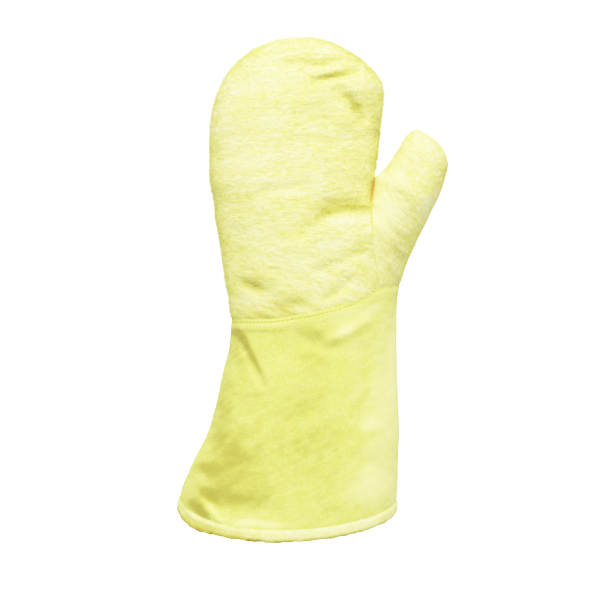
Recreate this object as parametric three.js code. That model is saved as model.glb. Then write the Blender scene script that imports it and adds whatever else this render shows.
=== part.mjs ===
// A heat-resistant aramid mitten that lies palm down: a terry hand of two panels, a terry thumb
// of two halves set into its side, and a long flared cuff with a bound hem.
// Millimetres. +X is the thumb's side, +Y the fingertips, +Z up, and z = 0 is the surface it lies on.
import * as THREE from "three";
import { mergeVertices } from "three/addons/utils/BufferGeometryUtils.js";

// Cloth and seams.
const TERRY_WALL = 3.6; // terry cloth of the hand and thumb
const LAPPED_WALL = 2.2; // the same cloth pressed flat under the cuff
const CUFF_WALL = 2.2;
const SEAM_GAP = 0.3; // between two sewn pieces
const LAP_CLEARANCE = 0.7; // between the cuff and the hand inside it
const LAP = 8; // length of the hand that goes inside the cuff
const TUCK = { full: 1, start: 6 }; // heights above the seam between which the hand dips under the cuff
const EDGE_DIP = 1.0; // the cuff's upper edge is sewn down by this much

// Outline of the whole mitten across its length, the thumb's root included. left and right are its
// side seams, crown is the height of its upper face, and seam the height of the side seams.
const BODY = [
  { y: -176, left: -106.7, right: 67.2, crown: 70, seam: 25 },
  { y: -160, left: -103.6, right: 68.0, crown: 68, seam: 25 },
  { y: -143, left: -97.0, right: 68.6, crown: 66, seam: 25 },
  { y: -112, left: -81.8, right: 69.8, crown: 62, seam: 24 },
  { y: -88, left: -75.0, right: 68.8, crown: 59, seam: 23 },
  { y: -64, left: -70.0, right: 68.1, crown: 57, seam: 22 },
  { y: -45, left: -65.4, right: 67.8, crown: 55, seam: 22 },
  { y: -25, left: -64.0, right: 67.8, crown: 54, seam: 21 },
  { y: -8, left: -65.0, right: 68.6, crown: 54, seam: 21 },
  { y: 8, left: -68.4, right: 71.8, crown: 54, seam: 21 },
  { y: 24, left: -71.0, right: 77.2, crown: 54, seam: 20 },
  { y: 40, left: -73.4, right: 84.4, crown: 54, seam: 20 },
  { y: 56, left: -75.9, right: 92.4, crown: 54, seam: 20 },
  { y: 72, left: -78.2, right: 99.8, crown: 53, seam: 20 },
  { y: 88, left: -80.5, right: 105.8, crown: 52, seam: 20 },
  { y: 119, left: -81.3, right: 108.0, crown: 50, seam: 20 },
];

// The thumb's sections, from the cuff to the tip. inner lies on the seam to the hand up to the
// crotch and on the thumb's own seam above it, and outer on its outer side seam.
const THUMB = [
  { row: 0, innerX: 55.0, innerY: -8.0, outerX: 68.4, outerY: -7.5 },
  { row: 1, innerX: 53.6, innerY: 1.5, outerX: 70.1, outerY: 2.4 },
  { row: 2, innerX: 51.2, innerY: 15.5, outerX: 73.7, outerY: 14.0 },
  { row: 3, innerX: 48.8, innerY: 30.0, outerX: 78.5, outerY: 26.7 },
  { row: 4, innerX: 47.4, innerY: 45.0, outerX: 83.3, outerY: 37.6 },
  { row: 5, innerX: 47.1, innerY: 60.0, outerX: 87.9, outerY: 47.0 },
  { row: 6, innerX: 48.0, innerY: 74.0, outerX: 92.3, outerY: 55.6 },
  { row: 7, innerX: 50.0, innerY: 88.0, outerX: 96.2, outerY: 64.0 },
  { row: 8, innerX: 57.4, innerY: 95.0, outerX: 100.4, outerY: 73.0 },
  { row: 9, innerX: 63.8, innerY: 103.5, outerX: 104.0, outerY: 82.5 },
  { row: 10, innerX: 69.2, innerY: 111.2, outerX: 106.8, outerY: 91.5 },
];
const CROTCH_ROW = 7;
const CROTCH_Y = 88;
const ROOT_Y = 42; // below this the hand and thumb are one smooth surface
const THUMB_SEAM_HEIGHT = 18;
const THUMB_FULLNESS = 0.46; // rise of the thumb's crown for each millimetre of its width
const THUMB_TIP = { length: 21.5, apex: -8.6, innerPower: 3.5 };

// The fingertip end: an oval on the little finger's side and a flatter arc with a corner on the other.
const SHOULDER_Y = 119;
const TIP = { x: -9.5, length: 81, power: 2.15, arcRadius: 78, cornerRound: 3 };
const EDGE_LINE = { x: 50.3, y: 87, slope: 0.109 }; // the straight edge between crotch and corner
const DOME_POWER = 0.75; // how the crown falls towards the fingertips

// Where the cuff's upper edge crosses the hand, and the reference level of that seam.
const WRIST = [
  { x: -64, y: -25.0 },
  { x: -36, y: -25.0 },
  { x: -9, y: -21.5 },
  { x: 22, y: -14.7 },
  { x: 42, y: -8.3 },
  { x: 54, y: -1.0 },
  { x: 69, y: 2.4 },
];
const WRIST_LEVEL = -12;
const WRIST_REACH = 75; // the seam's curve has died out this far above it

// The cuff's lower end and its binding.
const HEM = { left: -169, right: -173, dip: 22, power: 0.54, skew: 0.8, cornerRound: 0.01 };
const HEM_LIFT = { from: 0.08, to: 0.35 }; // shares of the cuff's length over which its underside comes down
const BINDING = { depth: 9.5, overlap: 5.5, wall: 2.4, clearance: 0.4, corner: 3.2 };

// How full the sections are: 1 - |a| ** power, raised to rise, for a from -1 to 1 across.
const UPPER = { power: 2.3, rise: 0.6 };
const UNDER = { power: 5.5, rise: 0.6 };
const SETTLE = 1.4; // how far the cloth would sag below the surface, which flattens it

// Dents and ridges of the upper face: a line from (x0, y0) to (x1, y1), its half width and height.
const FOLDS = [
  { x0: -29, y0: 182, x1: 19, y1: 182, width: 5, height: -1.2 }, // fingertips
  { x0: -7, y0: 164, x1: 33, y1: 174, width: 4, height: -2.4 },
  { x0: 23, y0: 158, x1: 40, y1: 139, width: 6, height: -3.8 },
  { x0: 32, y0: 162, x1: 50, y1: 163, width: 7, height: 1.8 },
  { x0: 27, y0: 120, x1: 42, y1: 119, width: 5, height: -1.0 },
  { x0: -39, y0: 79, x1: -9, y1: 83, width: 5, height: -0.8 }, // back of the hand
  { x0: 11, y0: 74, x1: 43, y1: 67, width: 7.5, height: -3.4 },
  { x0: 11, y0: 71, x1: -7, y1: 46, width: 9, height: -1.2 },
  { x0: 31, y0: 47, x1: 43, y1: 51, width: 3.5, height: -1.2 },
  { x0: 2, y0: 23, x1: 45, y1: 39, width: 4.5, height: -2.0 },
  { x0: 15, y0: -4, x1: 33, y1: 11, width: 4, height: -2.0 },
  { x0: -58, y0: 43, x1: -57, y1: 27, width: 8, height: -1.2 },
  { x0: -54, y0: 11, x1: -35, y1: 0, width: 7, height: -2.8 },
  { x0: -58, y0: -34, x1: -36, y1: -73, width: 3.8, height: -3.0 }, // cuff
  { x0: 0, y0: -32, x1: 19, y1: -40, width: 6, height: -2.0 },
  { x0: 17, y0: -42, x1: 40, y1: -26, width: 5, height: 1.5 },
  { x0: 46, y0: -44, x1: 48, y1: -96, width: 6, height: -1.0 },
  { x0: -21, y0: -48, x1: 0, y1: -50, width: 10, height: -1.0 },
  { x0: -53, y0: -132, x1: -79, y1: -161, width: 10, height: -3.4 },
  { x0: -69, y0: -167, x1: -17, y1: -171, width: 9, height: -1.5 },
  { x0: -86, y0: -158, x1: -74, y1: -174, width: 4.5, height: 1.8 },
  { x0: 35, y0: -132, x1: 58, y1: -143, width: 5, height: -0.8 },
];
const FOLD_FADE = { start: 3, full: 12 }; // folds die out this near the wrist seam

// Facets along and across each piece.
const FACETS = {
  back: { along: 34, across: 24 },
  palm: { along: 24, across: 16 },
  thumbBack: { along: 20, across: 12 },
  thumbPalm: { along: 15, across: 8 },
  cuff: { along: 13, across: 48 },
  binding: { along: 48 },
};

const CENTRE_Y = 1.6; // middle of the mitten's length in the tables, where the origin is

const cloth = (color, roughness) => new THREE.MeshStandardMaterial({ color, roughness, metalness: 0 });
const terry = () => cloth(0xf1f1a6, 0.95);
const feltedCloth = () => cloth(0xe2e884, 0.9);
const bindingCloth = () => cloth(0xf2f2ae, 0.95);

const mix = (a, b, t) => a + (b - a) * t;
const smooth = (from, to, value) => THREE.MathUtils.smoothstep(value, from, to);

// The value of a table's column at a place on its key column: a smooth curve with no overshoot.
function between(rows, key, column, at) {
  const last = rows.length - 1;
  if (at <= rows[0][key]) return rows[0][column];
  if (at >= rows[last][key]) return rows[last][column];
  const i = rows.findIndex((row) => row[key] > at) - 1;
  const slope = (k) => (rows[k + 1][column] - rows[k][column]) / (rows[k + 1][key] - rows[k][key]);
  const tangent = (k) => {
    if (k === 0) return slope(0);
    if (k === last) return slope(last - 1);
    const before = slope(k - 1);
    const after = slope(k);
    return before * after <= 0 ? 0 : (2 * before * after) / (before + after);
  };
  const span = rows[i + 1][key] - rows[i][key];
  const t = (at - rows[i][key]) / span;
  const [t2, t3] = [t * t, t * t * t];
  return (
    (2 * t3 - 3 * t2 + 1) * rows[i][column] +
    (t3 - 2 * t2 + t) * span * tangent(i) +
    (3 * t2 - 2 * t3) * rows[i + 1][column] +
    (t3 - t2) * span * tangent(i + 1)
  );
}

const body = (column, y) => between(BODY, "y", column, y);
const wristY = (x) => between(WRIST, "x", "y", x);
const seamX = (y) => between(THUMB.slice(0, CROTCH_ROW + 1), "innerY", "innerX", y);

// How much the hand and thumb have parted at a level: 0 below the root, 1 at the crotch.
const parting = (y) => smooth(ROOT_Y, CROTCH_Y, y);

// Share of the full height at a across a section, from -1 at one side seam to 1 at the other.
function fullness(a, form) {
  return (1 - Math.min(1, Math.abs(a)) ** form.power) ** form.rise;
}

// Height at a across a section whose upper face rises by `rise` from its seams, and whose lower one
// lies on a floor. gap is the opening left along the seams, and inset the depth under the cloth's face.
function sectionHeight(a, { seam, rise, gap = SEAM_GAP, floor = 0 }, side, inset) {
  const start = seam + (side * gap) / 2;
  if (side > 0) return start + Math.max(0, rise - inset) * fullness(a, UPPER);
  return Math.max(floor + inset, start - (start + SETTLE - floor - inset) * fullness(a, UNDER));
}

// The dents and ridges at a place of the upper face.
function foldHeight(x, y) {
  let sum = 0;
  for (const fold of FOLDS) {
    const [dx, dy] = [fold.x1 - fold.x0, fold.y1 - fold.y0];
    const along = ((x - fold.x0) * dx + (y - fold.y0) * dy) / (dx * dx + dy * dy);
    const t = THREE.MathUtils.clamp(along, 0, 1);
    const away = Math.hypot(x - fold.x0 - t * dx, y - fold.y0 - t * dy) / fold.width;
    sum += fold.height * Math.exp(-away * away);
  }
  return sum * smooth(FOLD_FADE.start, FOLD_FADE.full, Math.abs(y - wristY(x)));
}

// Folds count in full on the crown and not at the seams, where the cloth is held.
function withFolds(point, a, side) {
  if (side > 0) point.z += foldHeight(point.x, point.y) * Math.min(1, 1.6 * fullness(a, UPPER));
  return point;
}

// A place across the joined surface of hand, thumb root and cuff.
function bodyHeight(x, y, side, inset) {
  const [left, right] = [body("left", y) + inset, body("right", y) - inset];
  const a = THREE.MathUtils.clamp((2 * x - left - right) / (right - left), -1, 1);
  const seam = body("seam", y);
  return sectionHeight(a, { seam, rise: body("crown", y) - seam }, side, inset);
}

// The hand's section at s: a level below the shoulder for s < 0, an angle round the tip above it.
function handSection(s, inset) {
  const round = s > 0;
  const y = SHOULDER_Y + (round ? (TIP.length - inset) * Math.sin(s) : TIP.length * s);
  const lift = (1 - smooth(WRIST_LEVEL, WRIST_LEVEL + WRIST_REACH, y)) ** 2;
  const leftY = y + lift * (wristY(BODY[7].left) - WRIST_LEVEL);
  const rightY = y + lift * (wristY(seamX(0)) - WRIST_LEVEL);
  const semi = TIP.x - body("left", SHOULDER_Y) - inset;
  const squared = (1 - Math.abs(Math.sin(s)) ** TIP.power) ** (1 / TIP.power);
  const left = round ? TIP.x - semi * squared : body("left", leftY) + inset;
  return { y, lift, leftY, rightY, left, right: handRight(rightY, inset) };
}

// The hand's right side: the thumb's seam, the straight edge, and the arc round the fingertips.
function handRight(y, inset) {
  if (y <= CROTCH_Y) return seamX(y) - SEAM_GAP / 2 - inset * parting(y);
  const line = EDGE_LINE.x + EDGE_LINE.slope * (y - EDGE_LINE.y) - inset;
  const radius = TIP.arcRadius - inset;
  const centreY = SHOULDER_Y + TIP.length - TIP.arcRadius;
  const arc = TIP.x + Math.sqrt(Math.max(0, radius ** 2 - (y - centreY) ** 2));
  const near = THREE.MathUtils.clamp((arc - line) / TIP.cornerRound, -2, 2);
  return Math.min(line, arc) - (TIP.cornerRound * (2 - Math.abs(near)) ** 2) / 8;
}

// A point of the hand: s along it, u from 0 to 1 across, side 1 for the back and -1 for the palm.
function handPoint(s, u, side, inset) {
  const section = handSection(s, inset);
  const x = mix(section.left, section.right, u);
  const drop = section.lift * (wristY(x) - WRIST_LEVEL);
  const y = section.y + drop;
  const a = 2 * u - 1;
  const dome = s > 0 ? Math.cos(s) ** DOME_POWER : 1;
  const seam = body("seam", y);
  const own = sectionHeight(a, { seam, rise: (body("crown", y) - seam) * dome }, side, inset);
  const apart = parting(y);
  const z = apart < 1 ? mix(bodyHeight(x, y, side, inset), own, apart) : own;
  const rounded = side < 0 ? mix(seam - SEAM_GAP / 2, z, dome) : z;
  return withFolds(new THREE.Vector3(x, y, rounded), a, side);
}

// The thumb's section at r: a row of its table up to the last one, then an angle round its tip.
function thumbSection(r, inset) {
  const last = THUMB.length - 1;
  const row = Math.min(r, last);
  const at = (column) => between(THUMB, "row", column, row);
  const inner = new THREE.Vector2(at("innerX"), at("innerY"));
  const outer = new THREE.Vector2(at("outerX"), at("outerY"));
  if (row < CROTCH_ROW) inner.x = seamX(inner.y) + SEAM_GAP / 2;
  if (row < CROTCH_ROW) outer.x = body("right", outer.y);
  const across = outer.clone().sub(inner).normalize();
  const apart = row < CROTCH_ROW ? parting(inner.y) : 1;
  inner.addScaledVector(across, inset * apart);
  outer.addScaledVector(across, -inset);
  if (r <= last) return { inner, outer, apart, dome: 1, width: inner.distanceTo(outer) };
  const angle = r - last;
  const centre = inner.clone().lerp(outer, 0.5);
  const half = inner.distanceTo(outer) / 2;
  const ahead = new THREE.Vector2(-across.y, across.x);
  const apex = THUMB_TIP.apex;
  const reach = Math.sin(angle);
  const squared = (1 - reach ** THUMB_TIP.innerPower) ** (1 / THUMB_TIP.innerPower);
  const place = (lateral) =>
    centre
      .clone()
      .addScaledVector(across, lateral)
      .addScaledVector(ahead, (THUMB_TIP.length - inset) * reach);
  return {
    inner: place(apex - (half + apex) * squared),
    outer: place(apex + (half - apex) * Math.cos(angle)),
    apart: 1,
    dome: Math.cos(angle) ** DOME_POWER,
    width: 2 * half,
  };
}

// A point of the thumb: r along it, u from 0 at its inner seam to 1 at the outer one.
function thumbPoint(r, u, side, inset) {
  const section = thumbSection(r, inset);
  const place = section.inner.clone().lerp(section.outer, u);
  const a = 2 * u - 1;
  const base = body("seam", place.y);
  const seam = mix(base, THUMB_SEAM_HEIGHT, smooth(CROTCH_ROW, CROTCH_ROW + 3, r));
  const rise = (section.width + 2 * inset) * THUMB_FULLNESS * section.dome;
  const own = sectionHeight(a, { seam, rise }, side, inset);
  const joined = bodyHeight(place.x, place.y, side, inset);
  const z = mix(joined, own, section.apart);
  const rounded = side < 0 ? mix(seam - SEAM_GAP / 2, z, section.dome) : z;
  return withFolds(new THREE.Vector3(place.x, place.y, rounded), a, side);
}

// How far the cuff's lower edge hangs below the line between its corners, at t from left to right.
function hemDip(t) {
  const eased = (part) => (part * part) / (part + HEM.cornerRound);
  const across = eased(t) / (eased(t) + eased(1 - t));
  return HEM.dip * Math.max(0, Math.sin(Math.PI * across ** HEM.skew)) ** HEM.power;
}

// A point of the cuff: v from 0 at its lower edge to 1 at the wrist seam, angle once round it.
function cuffPoint(v, angle, inset) {
  const side = Math.sin(angle) >= 0 ? 1 : -1;
  const t = (1 - Math.cos(angle)) / 2;
  const leftY = mix(HEM.left, wristY(WRIST[0].x), v);
  const rightY = mix(HEM.right, wristY(WRIST[6].x), v);
  const [left, right] = [body("left", leftY) + inset, body("right", rightY) - inset];
  const x = mix(left, right, t);
  const chord = mix(wristY(WRIST[0].x), wristY(WRIST[6].x), t);
  const level = mix(mix(HEM.left, HEM.right, t), chord, v);
  const y = level - (1 - v) * hemDip(t) + v * (wristY(x) - chord);
  const seam = body("seam", level);
  const a = 2 * t - 1;
  const floor = (BINDING.wall + BINDING.clearance) * (1 - smooth(HEM_LIFT.from, HEM_LIFT.to, v));
  const rise = body("crown", level) - seam;
  const z = sectionHeight(a, { seam, rise, gap: 0, floor }, side, inset);
  return withFolds(new THREE.Vector3(x, y, z), a, side);
}

// Triangles of a mesh whose vertices form a grid of rows, each of `across` points.
function gridFaces(index, rows, across, start, outward) {
  for (let i = 0; i < rows - 1; i += 1)
    for (let j = 0; j < across - 1; j += 1) {
      const [a, b] = [start + i * across + j, start + i * across + j + 1];
      const [c, d] = [a + across, b + across];
      index.push(...(outward ? [a, b, d, a, d, c] : [a, d, b, a, c, d]));
    }
}

// A closed mesh from points and triangles: equal points are merged, and collapsed triangles dropped.
function closedMesh(name, points, index, material) {
  const open = new THREE.BufferGeometry();
  open.setAttribute("position", new THREE.Float32BufferAttribute(points.flatMap((p) => p.toArray()), 3));
  open.setIndex(index);
  const merged = mergeVertices(open, 1e-3);
  const kept = [];
  const all = merged.index.array;
  for (let i = 0; i < all.length; i += 3) {
    const [a, b, c] = [all[i], all[i + 1], all[i + 2]];
    if (a !== b && b !== c && c !== a) kept.push(a, b, c);
  }
  merged.setIndex(kept);
  merged.computeVertexNormals();
  const mesh = new THREE.Mesh(merged, material);
  mesh.name = name;
  return mesh;
}

// A cloth panel: a grid of outer points and one of inner points, joined round the rim.
function panel(name, stops, across, point, wall, side, material) {
  const rows = stops.length;
  const columns = across + 1;
  const points = [];
  for (const layer of ["outer", "inner"])
    for (const stop of stops)
      for (let j = 0; j < columns; j += 1) {
        const u = (1 - Math.cos((Math.PI * j) / across)) / 2;
        points.push(point(stop, u, side, wall(stop)[layer]));
      }
  const index = [];
  const inner = rows * columns;
  gridFaces(index, rows, columns, 0, side > 0);
  gridFaces(index, rows, columns, inner, side < 0);
  const rim = [];
  for (let j = 0; j < columns; j += 1) rim.push(j);
  for (let i = 1; i < rows; i += 1) rim.push(i * columns + across);
  for (let j = across - 1; j >= 0; j -= 1) rim.push((rows - 1) * columns + j);
  for (let i = rows - 2; i > 0; i -= 1) rim.push(i * columns);
  rim.forEach((a, k) => {
    const b = rim[(k + 1) % rim.length];
    const [c, d] = [inner + a, inner + b];
    index.push(...(side > 0 ? [a, c, b, b, c, d] : [a, b, c, b, d, c]));
  });
  return closedMesh(name, points, index, material);
}

// Depth of the terry's two faces under the smooth outline, dipping where the cuff laps over it.
function terryWall(distanceAboveSeam) {
  const under = EDGE_DIP + CUFF_WALL + LAP_CLEARANCE;
  const lapped = 1 - smooth(TUCK.full, TUCK.start, distanceAboveSeam);
  const outer = under * lapped;
  return { outer, inner: outer + mix(TERRY_WALL, LAPPED_WALL, lapped) };
}

const handLevel = (s) => (s > 0 ? TIP.length : SHOULDER_Y + TIP.length * s - WRIST_LEVEL);
const handWall = (s) => terryWall(handLevel(s));
const thumbLevel = (r) => (r >= 3 ? TUCK.start : between(THUMB, "row", "innerY", r) - THUMB[1].innerY);
const thumbWall = (r) => terryWall(thumbLevel(r));

// Stops from the end inside the cuff to the tip: the lap and the tuck take one step each.
function stopsAlong({ lapEnd, tuckFull, tuckStart, shoulder }, count, tipShare) {
  const tip = Math.round(count * tipShare);
  const straight = count - tip - 2;
  const stops = [lapEnd, tuckFull];
  for (let i = 0; i < straight; i += 1) stops.push(mix(tuckStart, shoulder, i / straight));
  for (let i = 0; i <= tip; i += 1) stops.push(shoulder + ((Math.PI / 2) * i) / tip);
  return stops;
}

const handStop = (y) => (y - SHOULDER_Y) / TIP.length;
const HAND_STOPS = {
  lapEnd: handStop(WRIST_LEVEL - LAP),
  tuckFull: handStop(WRIST_LEVEL + TUCK.full),
  tuckStart: handStop(WRIST_LEVEL + TUCK.start),
  shoulder: 0,
};
const THUMB_STOPS = { lapEnd: 0, tuckFull: 1.1, tuckStart: 1.5, shoulder: THUMB.length - 1 };
const HAND_TIP_SHARE = 0.42;
const THUMB_TIP_SHARE = 0.35;

function handPanel(name, side, facets) {
  const stops = stopsAlong(HAND_STOPS, facets.along, HAND_TIP_SHARE);
  return panel(name, stops, facets.across, handPoint, handWall, side, terry());
}

function thumbHalf(name, side, facets) {
  const stops = stopsAlong(THUMB_STOPS, facets.along, THUMB_TIP_SHARE);
  return panel(name, stops, facets.across, thumbPoint, thumbWall, side, terry());
}

// A ring of sections round the mitten, each a closed loop of points, joined into one closed solid.
function ring(name, loops, material) {
  const size = loops[0].length;
  const points = loops.flat();
  const index = [];
  loops.forEach((_, i) => {
    const next = ((i + 1) % loops.length) * size;
    for (let k = 0; k < size; k += 1) {
      const [a, b] = [i * size + k, i * size + ((k + 1) % size)];
      const [c, d] = [next + k, next + ((k + 1) % size)];
      index.push(a, b, d, a, d, c);
    }
  });
  return closedMesh(name, points, index, material);
}

// The cuff: at each angle round it, down its outer face and back up the inner one.
function cuff() {
  const loops = [];
  const rows = FACETS.cuff.along;
  for (let j = 0; j < FACETS.cuff.across; j += 1) {
    const angle = (2 * Math.PI * j) / FACETS.cuff.across;
    const loop = [];
    for (let i = rows; i >= 0; i -= 1) {
      const v = i / rows;
      const dip = EDGE_DIP * smooth(1 - 0.6 / rows, 1, v);
      loop.push(cuffPoint(v, angle, dip));
    }
    for (let i = 0; i <= rows; i += 1) {
      const v = i / rows;
      const dip = EDGE_DIP * smooth(1 - 0.6 / rows, 1, v);
      loop.push(cuffPoint(v, angle, dip + CUFF_WALL));
    }
    loops.push(loop);
  }
  return ring("cuff", loops, feltedCloth());
}

// The binding that wraps the cuff's lower edge: a U of cloth round the hem, with round corners.
function hemBinding() {
  const { overlap, wall, clearance, corner } = BINDING;
  const foot = BINDING.depth - overlap;
  const [outer, inner] = [-wall - clearance, CUFF_WALL + wall + clearance];
  const loops = [];
  for (let j = 0; j < FACETS.binding.along; j += 1) {
    const angle = (2 * Math.PI * j) / FACETS.binding.along;
    const below = (inset, depth) => {
      const edge = cuffPoint(0, angle, inset);
      const above = cuffPoint(1 / FACETS.cuff.along, angle, inset);
      return edge.clone().addScaledVector(edge.clone().sub(above).normalize(), depth);
    };
    const at = (depth, inward) => below(0, depth).lerp(below(CUFF_WALL, depth), inward / CUFF_WALL);
    loops.push([
      at(-overlap, -clearance),
      at(-overlap + 1, outer * 0.75),
      at(-overlap + corner, outer),
      at(foot - corner, outer),
      at(foot - corner * 0.3, outer * 0.55),
      at(foot, CUFF_WALL / 2),
      at(foot - corner * 0.3, inner - wall * 0.55),
      at(foot - corner, inner),
      at(-overlap + corner, inner),
      at(-overlap + 1, inner - wall * 0.3),
      at(-overlap, CUFF_WALL + clearance),
      at(clearance, CUFF_WALL + clearance),
      at(clearance, -clearance),
    ]);
  }
  return ring("hem_binding", loops, bindingCloth());
}

const mitten = new THREE.Group();
mitten.add(
  handPanel("back_panel", 1, FACETS.back),
  handPanel("palm_panel", -1, FACETS.palm),
  thumbHalf("thumb_back", 1, FACETS.thumbBack),
  thumbHalf("thumb_palm", -1, FACETS.thumbPalm),
  cuff(),
  hemBinding(),
);
mitten.position.y = -CENTRE_Y;

export default mitten;
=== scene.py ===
"""A long heat-resistant mitten of aramid cloth, lying palm down: a terry hand and thumb, and a flared
cuff with a bound hem. Sizes and tables are in millimetres, with +X the thumb's side, +Y the fingertips
and +Z up; meshes are in metres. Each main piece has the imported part's form, on a finer grid."""
import math
from collections import namedtuple

import bmesh
import bpy
import numpy as np
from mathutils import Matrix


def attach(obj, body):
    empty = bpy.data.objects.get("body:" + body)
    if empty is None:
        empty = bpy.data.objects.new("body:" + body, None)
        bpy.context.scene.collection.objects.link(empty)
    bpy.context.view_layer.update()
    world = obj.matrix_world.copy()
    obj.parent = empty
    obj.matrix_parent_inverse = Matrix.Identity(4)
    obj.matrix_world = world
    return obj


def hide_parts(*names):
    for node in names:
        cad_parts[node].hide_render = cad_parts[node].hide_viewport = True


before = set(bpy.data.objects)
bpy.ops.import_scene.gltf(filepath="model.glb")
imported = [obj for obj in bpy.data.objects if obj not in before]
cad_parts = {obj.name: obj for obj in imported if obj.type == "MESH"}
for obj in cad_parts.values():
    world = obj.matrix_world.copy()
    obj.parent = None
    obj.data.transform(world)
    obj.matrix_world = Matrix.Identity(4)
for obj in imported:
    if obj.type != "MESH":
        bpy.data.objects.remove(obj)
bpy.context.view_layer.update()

# The camera looks straight down on the mitten as it lies, with the fingertips at the top of the picture.
# One pixel is 0.795 mm at the height of the side seams.
METRE = 0.001
PIXEL = 0.795
SEAM_LEVEL = 21.0
CAMERA_HEIGHT = 2000.0
PICTURE_CENTRE = (-9.14, -9.95)
SENSOR = 36.0
PICTURE_PIXELS = 600

camera_data = bpy.data.cameras.new("camera")
camera_data.sensor_width = SENSOR
camera_data.lens = SENSOR * (CAMERA_HEIGHT - SEAM_LEVEL) / PIXEL / PICTURE_PIXELS
camera = bpy.data.objects.new("camera", camera_data)
camera.location = (PICTURE_CENTRE[0] * METRE, PICTURE_CENTRE[1] * METRE, CAMERA_HEIGHT * METRE)
bpy.context.scene.collection.objects.link(camera)
bpy.context.scene.camera = camera

# The picture has the tone of a bright studio photograph: display light is 1 - exp(-gain * light ** power),
# so that pale cloth keeps its drawing near white, and shaded cloth turns a deeper yellow.
TONE = {"gain": 2.44, "power": 1.5, "white": 2.2, "points": 14}
view = bpy.context.scene.view_settings
view.view_transform = "Standard"
view.use_curve_mapping = True
view.curve_mapping.white_level = (TONE["white"],) * 3
tone_curve = view.curve_mapping.curves[3]
for place in np.linspace(0, 1, TONE["points"])[1:-1]:
    light = place * TONE["white"]
    tone_curve.points.new(place, 1 - math.exp(-TONE["gain"] * light ** TONE["power"]))
view.curve_mapping.update()

# The back of the hand: one panel of heavy terry, brushed so that its loops lie in fine streaks. It is
# sewn to the palm along the outer edge, to the thumb from the crotch down, and under the cuff below.
TERRY_WALL = 3.6
LAPPED_WALL = 2.2
SEAM_GAP = 0.02
LAP = 8.0
CENTRE_Y = 1.6
CROTCH_ROW = 7
CROTCH_Y = 88.0
ROOT_Y = 42.0
SHOULDER_Y = 119.0
TIP = {"x": -9.5, "length": 81.0, "power": 2.15, "arc_radius": 78.0, "corner_round": 3.0}
EDGE_LINE = {"x": 50.3, "y": 87.0, "slope": 0.109}
DOME_POWER = 0.75
WRIST_LEVEL = -12.0
WRIST_REACH = 75.0
UPPER = (2.3, 0.6)
UNDER = (5.5, 0.6)
SETTLE = 1.4
FOLD_FADE = (3.0, 12.0)
FOLD_EASE = 1.6
WRIST_SIDES = (-25.0, 0.0)


def table(columns, *rows):
    """Rows of numbers as a dict of arrays, one for each named column."""
    return dict(zip(columns.split(), np.array(rows, float).T))


BODY = table(
    "y left right crown seam",
    (-176, -106.7, 67.2, 70, 25),
    (-160, -103.6, 68.0, 68, 25),
    (-143, -97.0, 68.6, 66, 25),
    (-112, -81.8, 69.8, 62, 24),
    (-88, -75.0, 68.8, 59, 23),
    (-64, -70.0, 68.1, 57, 22),
    (-45, -65.4, 67.8, 55, 22),
    (-25, -64.0, 67.8, 54, 21),
    (-8, -65.0, 68.6, 54, 21),
    (8, -68.4, 71.8, 54, 21),
    (24, -71.0, 77.2, 54, 20),
    (40, -73.4, 84.4, 54, 20),
    (56, -75.9, 92.4, 54, 20),
    (72, -78.2, 99.8, 53, 20),
    (88, -80.5, 105.8, 52, 20),
    (119, -81.3, 108.0, 50, 20),
)
THUMB = table(
    "row inner_x inner_y outer_x outer_y",
    (0, 55.0, -8.0, 68.4, -7.5),
    (1, 53.6, 1.5, 70.1, 2.4),
    (2, 51.2, 15.5, 73.7, 14.0),
    (3, 48.8, 30.0, 78.5, 26.7),
    (4, 47.4, 45.0, 83.3, 37.6),
    (5, 47.1, 60.0, 87.9, 47.0),
    (6, 48.0, 74.0, 92.3, 55.6),
    (7, 50.0, 88.0, 96.2, 64.0),
    (8, 57.4, 95.0, 100.4, 73.0),
    (9, 63.8, 103.5, 104.0, 82.5),
    (10, 69.2, 111.2, 106.8, 91.5),
)
THUMB_SEAM = {name: values[: CROTCH_ROW + 1] for name, values in THUMB.items()}
TUCK = table("above depth", (-3, 3.3), (0, 2.1), (1.3, 1.25), (4, 0.4), (9, 0))
WRIST = table("x y", (-64, -25), (-36, -25), (-9, -21.5), (22, -14.7), (42, -8.3), (54, -1), (69, 2.4))
FOLDS = table(
    "x0 y0 x1 y1 width height",
    (-26, 177, 14, 179, 5, -2.6),
    (3, 162.5, 36, 171, 4, -3.2),
    (23, 155, 41, 135.5, 6.5, -3.5),
    (32, 159, 50, 160, 7, 2.0),
    (-2, 140, 12, 139, 7, -1.2),
    (27, 120, 42, 119, 5, -1.2),
    (-39, 76, -9, 80, 5, -1.5),
    (16, 60.5, 46, 60.5, 7.5, -3.2),
    (12, 63, 28, 64, 9, -1.4),
    (13, 66, -7, 45, 7, -2.6),
    (31, 47, 43, 51, 3.5, -1.4),
    (4, 14, 42, 30, 4.5, -1.6),
    (13, -8, 30, 6, 4, -2.2),
    (-58, 43, -57, 27, 8, -1.4),
    (-57, 6, -33, -3, 6, -2.4),
    (-34, -16, -12, -12, 8, -2.2),
    (-64, -32, -53, -49, 3.2, -1.3),
    (-53, -49, -39, -75, 3.2, -1.5),
    (-4, -40, 16, -46, 7, -2.4),
    (13, -41, 43, -26, 5, 2.0),
    (42, -50, 42, -96, 7, -1.6),
    (-21, -48, 0, -50, 10, -1.2),
    (-54, -140, -80, -166, 10, -2.6),
    (-76, -167, -30, -172, 8, -1.7),
    (-91, -160, -74, -179, 4.5, 2.0),
    (-97, -173, -80, -182, 5, -1.5),
    (35, -132, 58, -143, 5, -1.0),
)


def smooth(start, end, value):
    """0 up to start and 1 from end on, in either direction, with a smooth step between them."""
    t = np.clip((value - start) / (end - start), 0, 1)
    return t * t * (3 - 2 * t)


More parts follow.
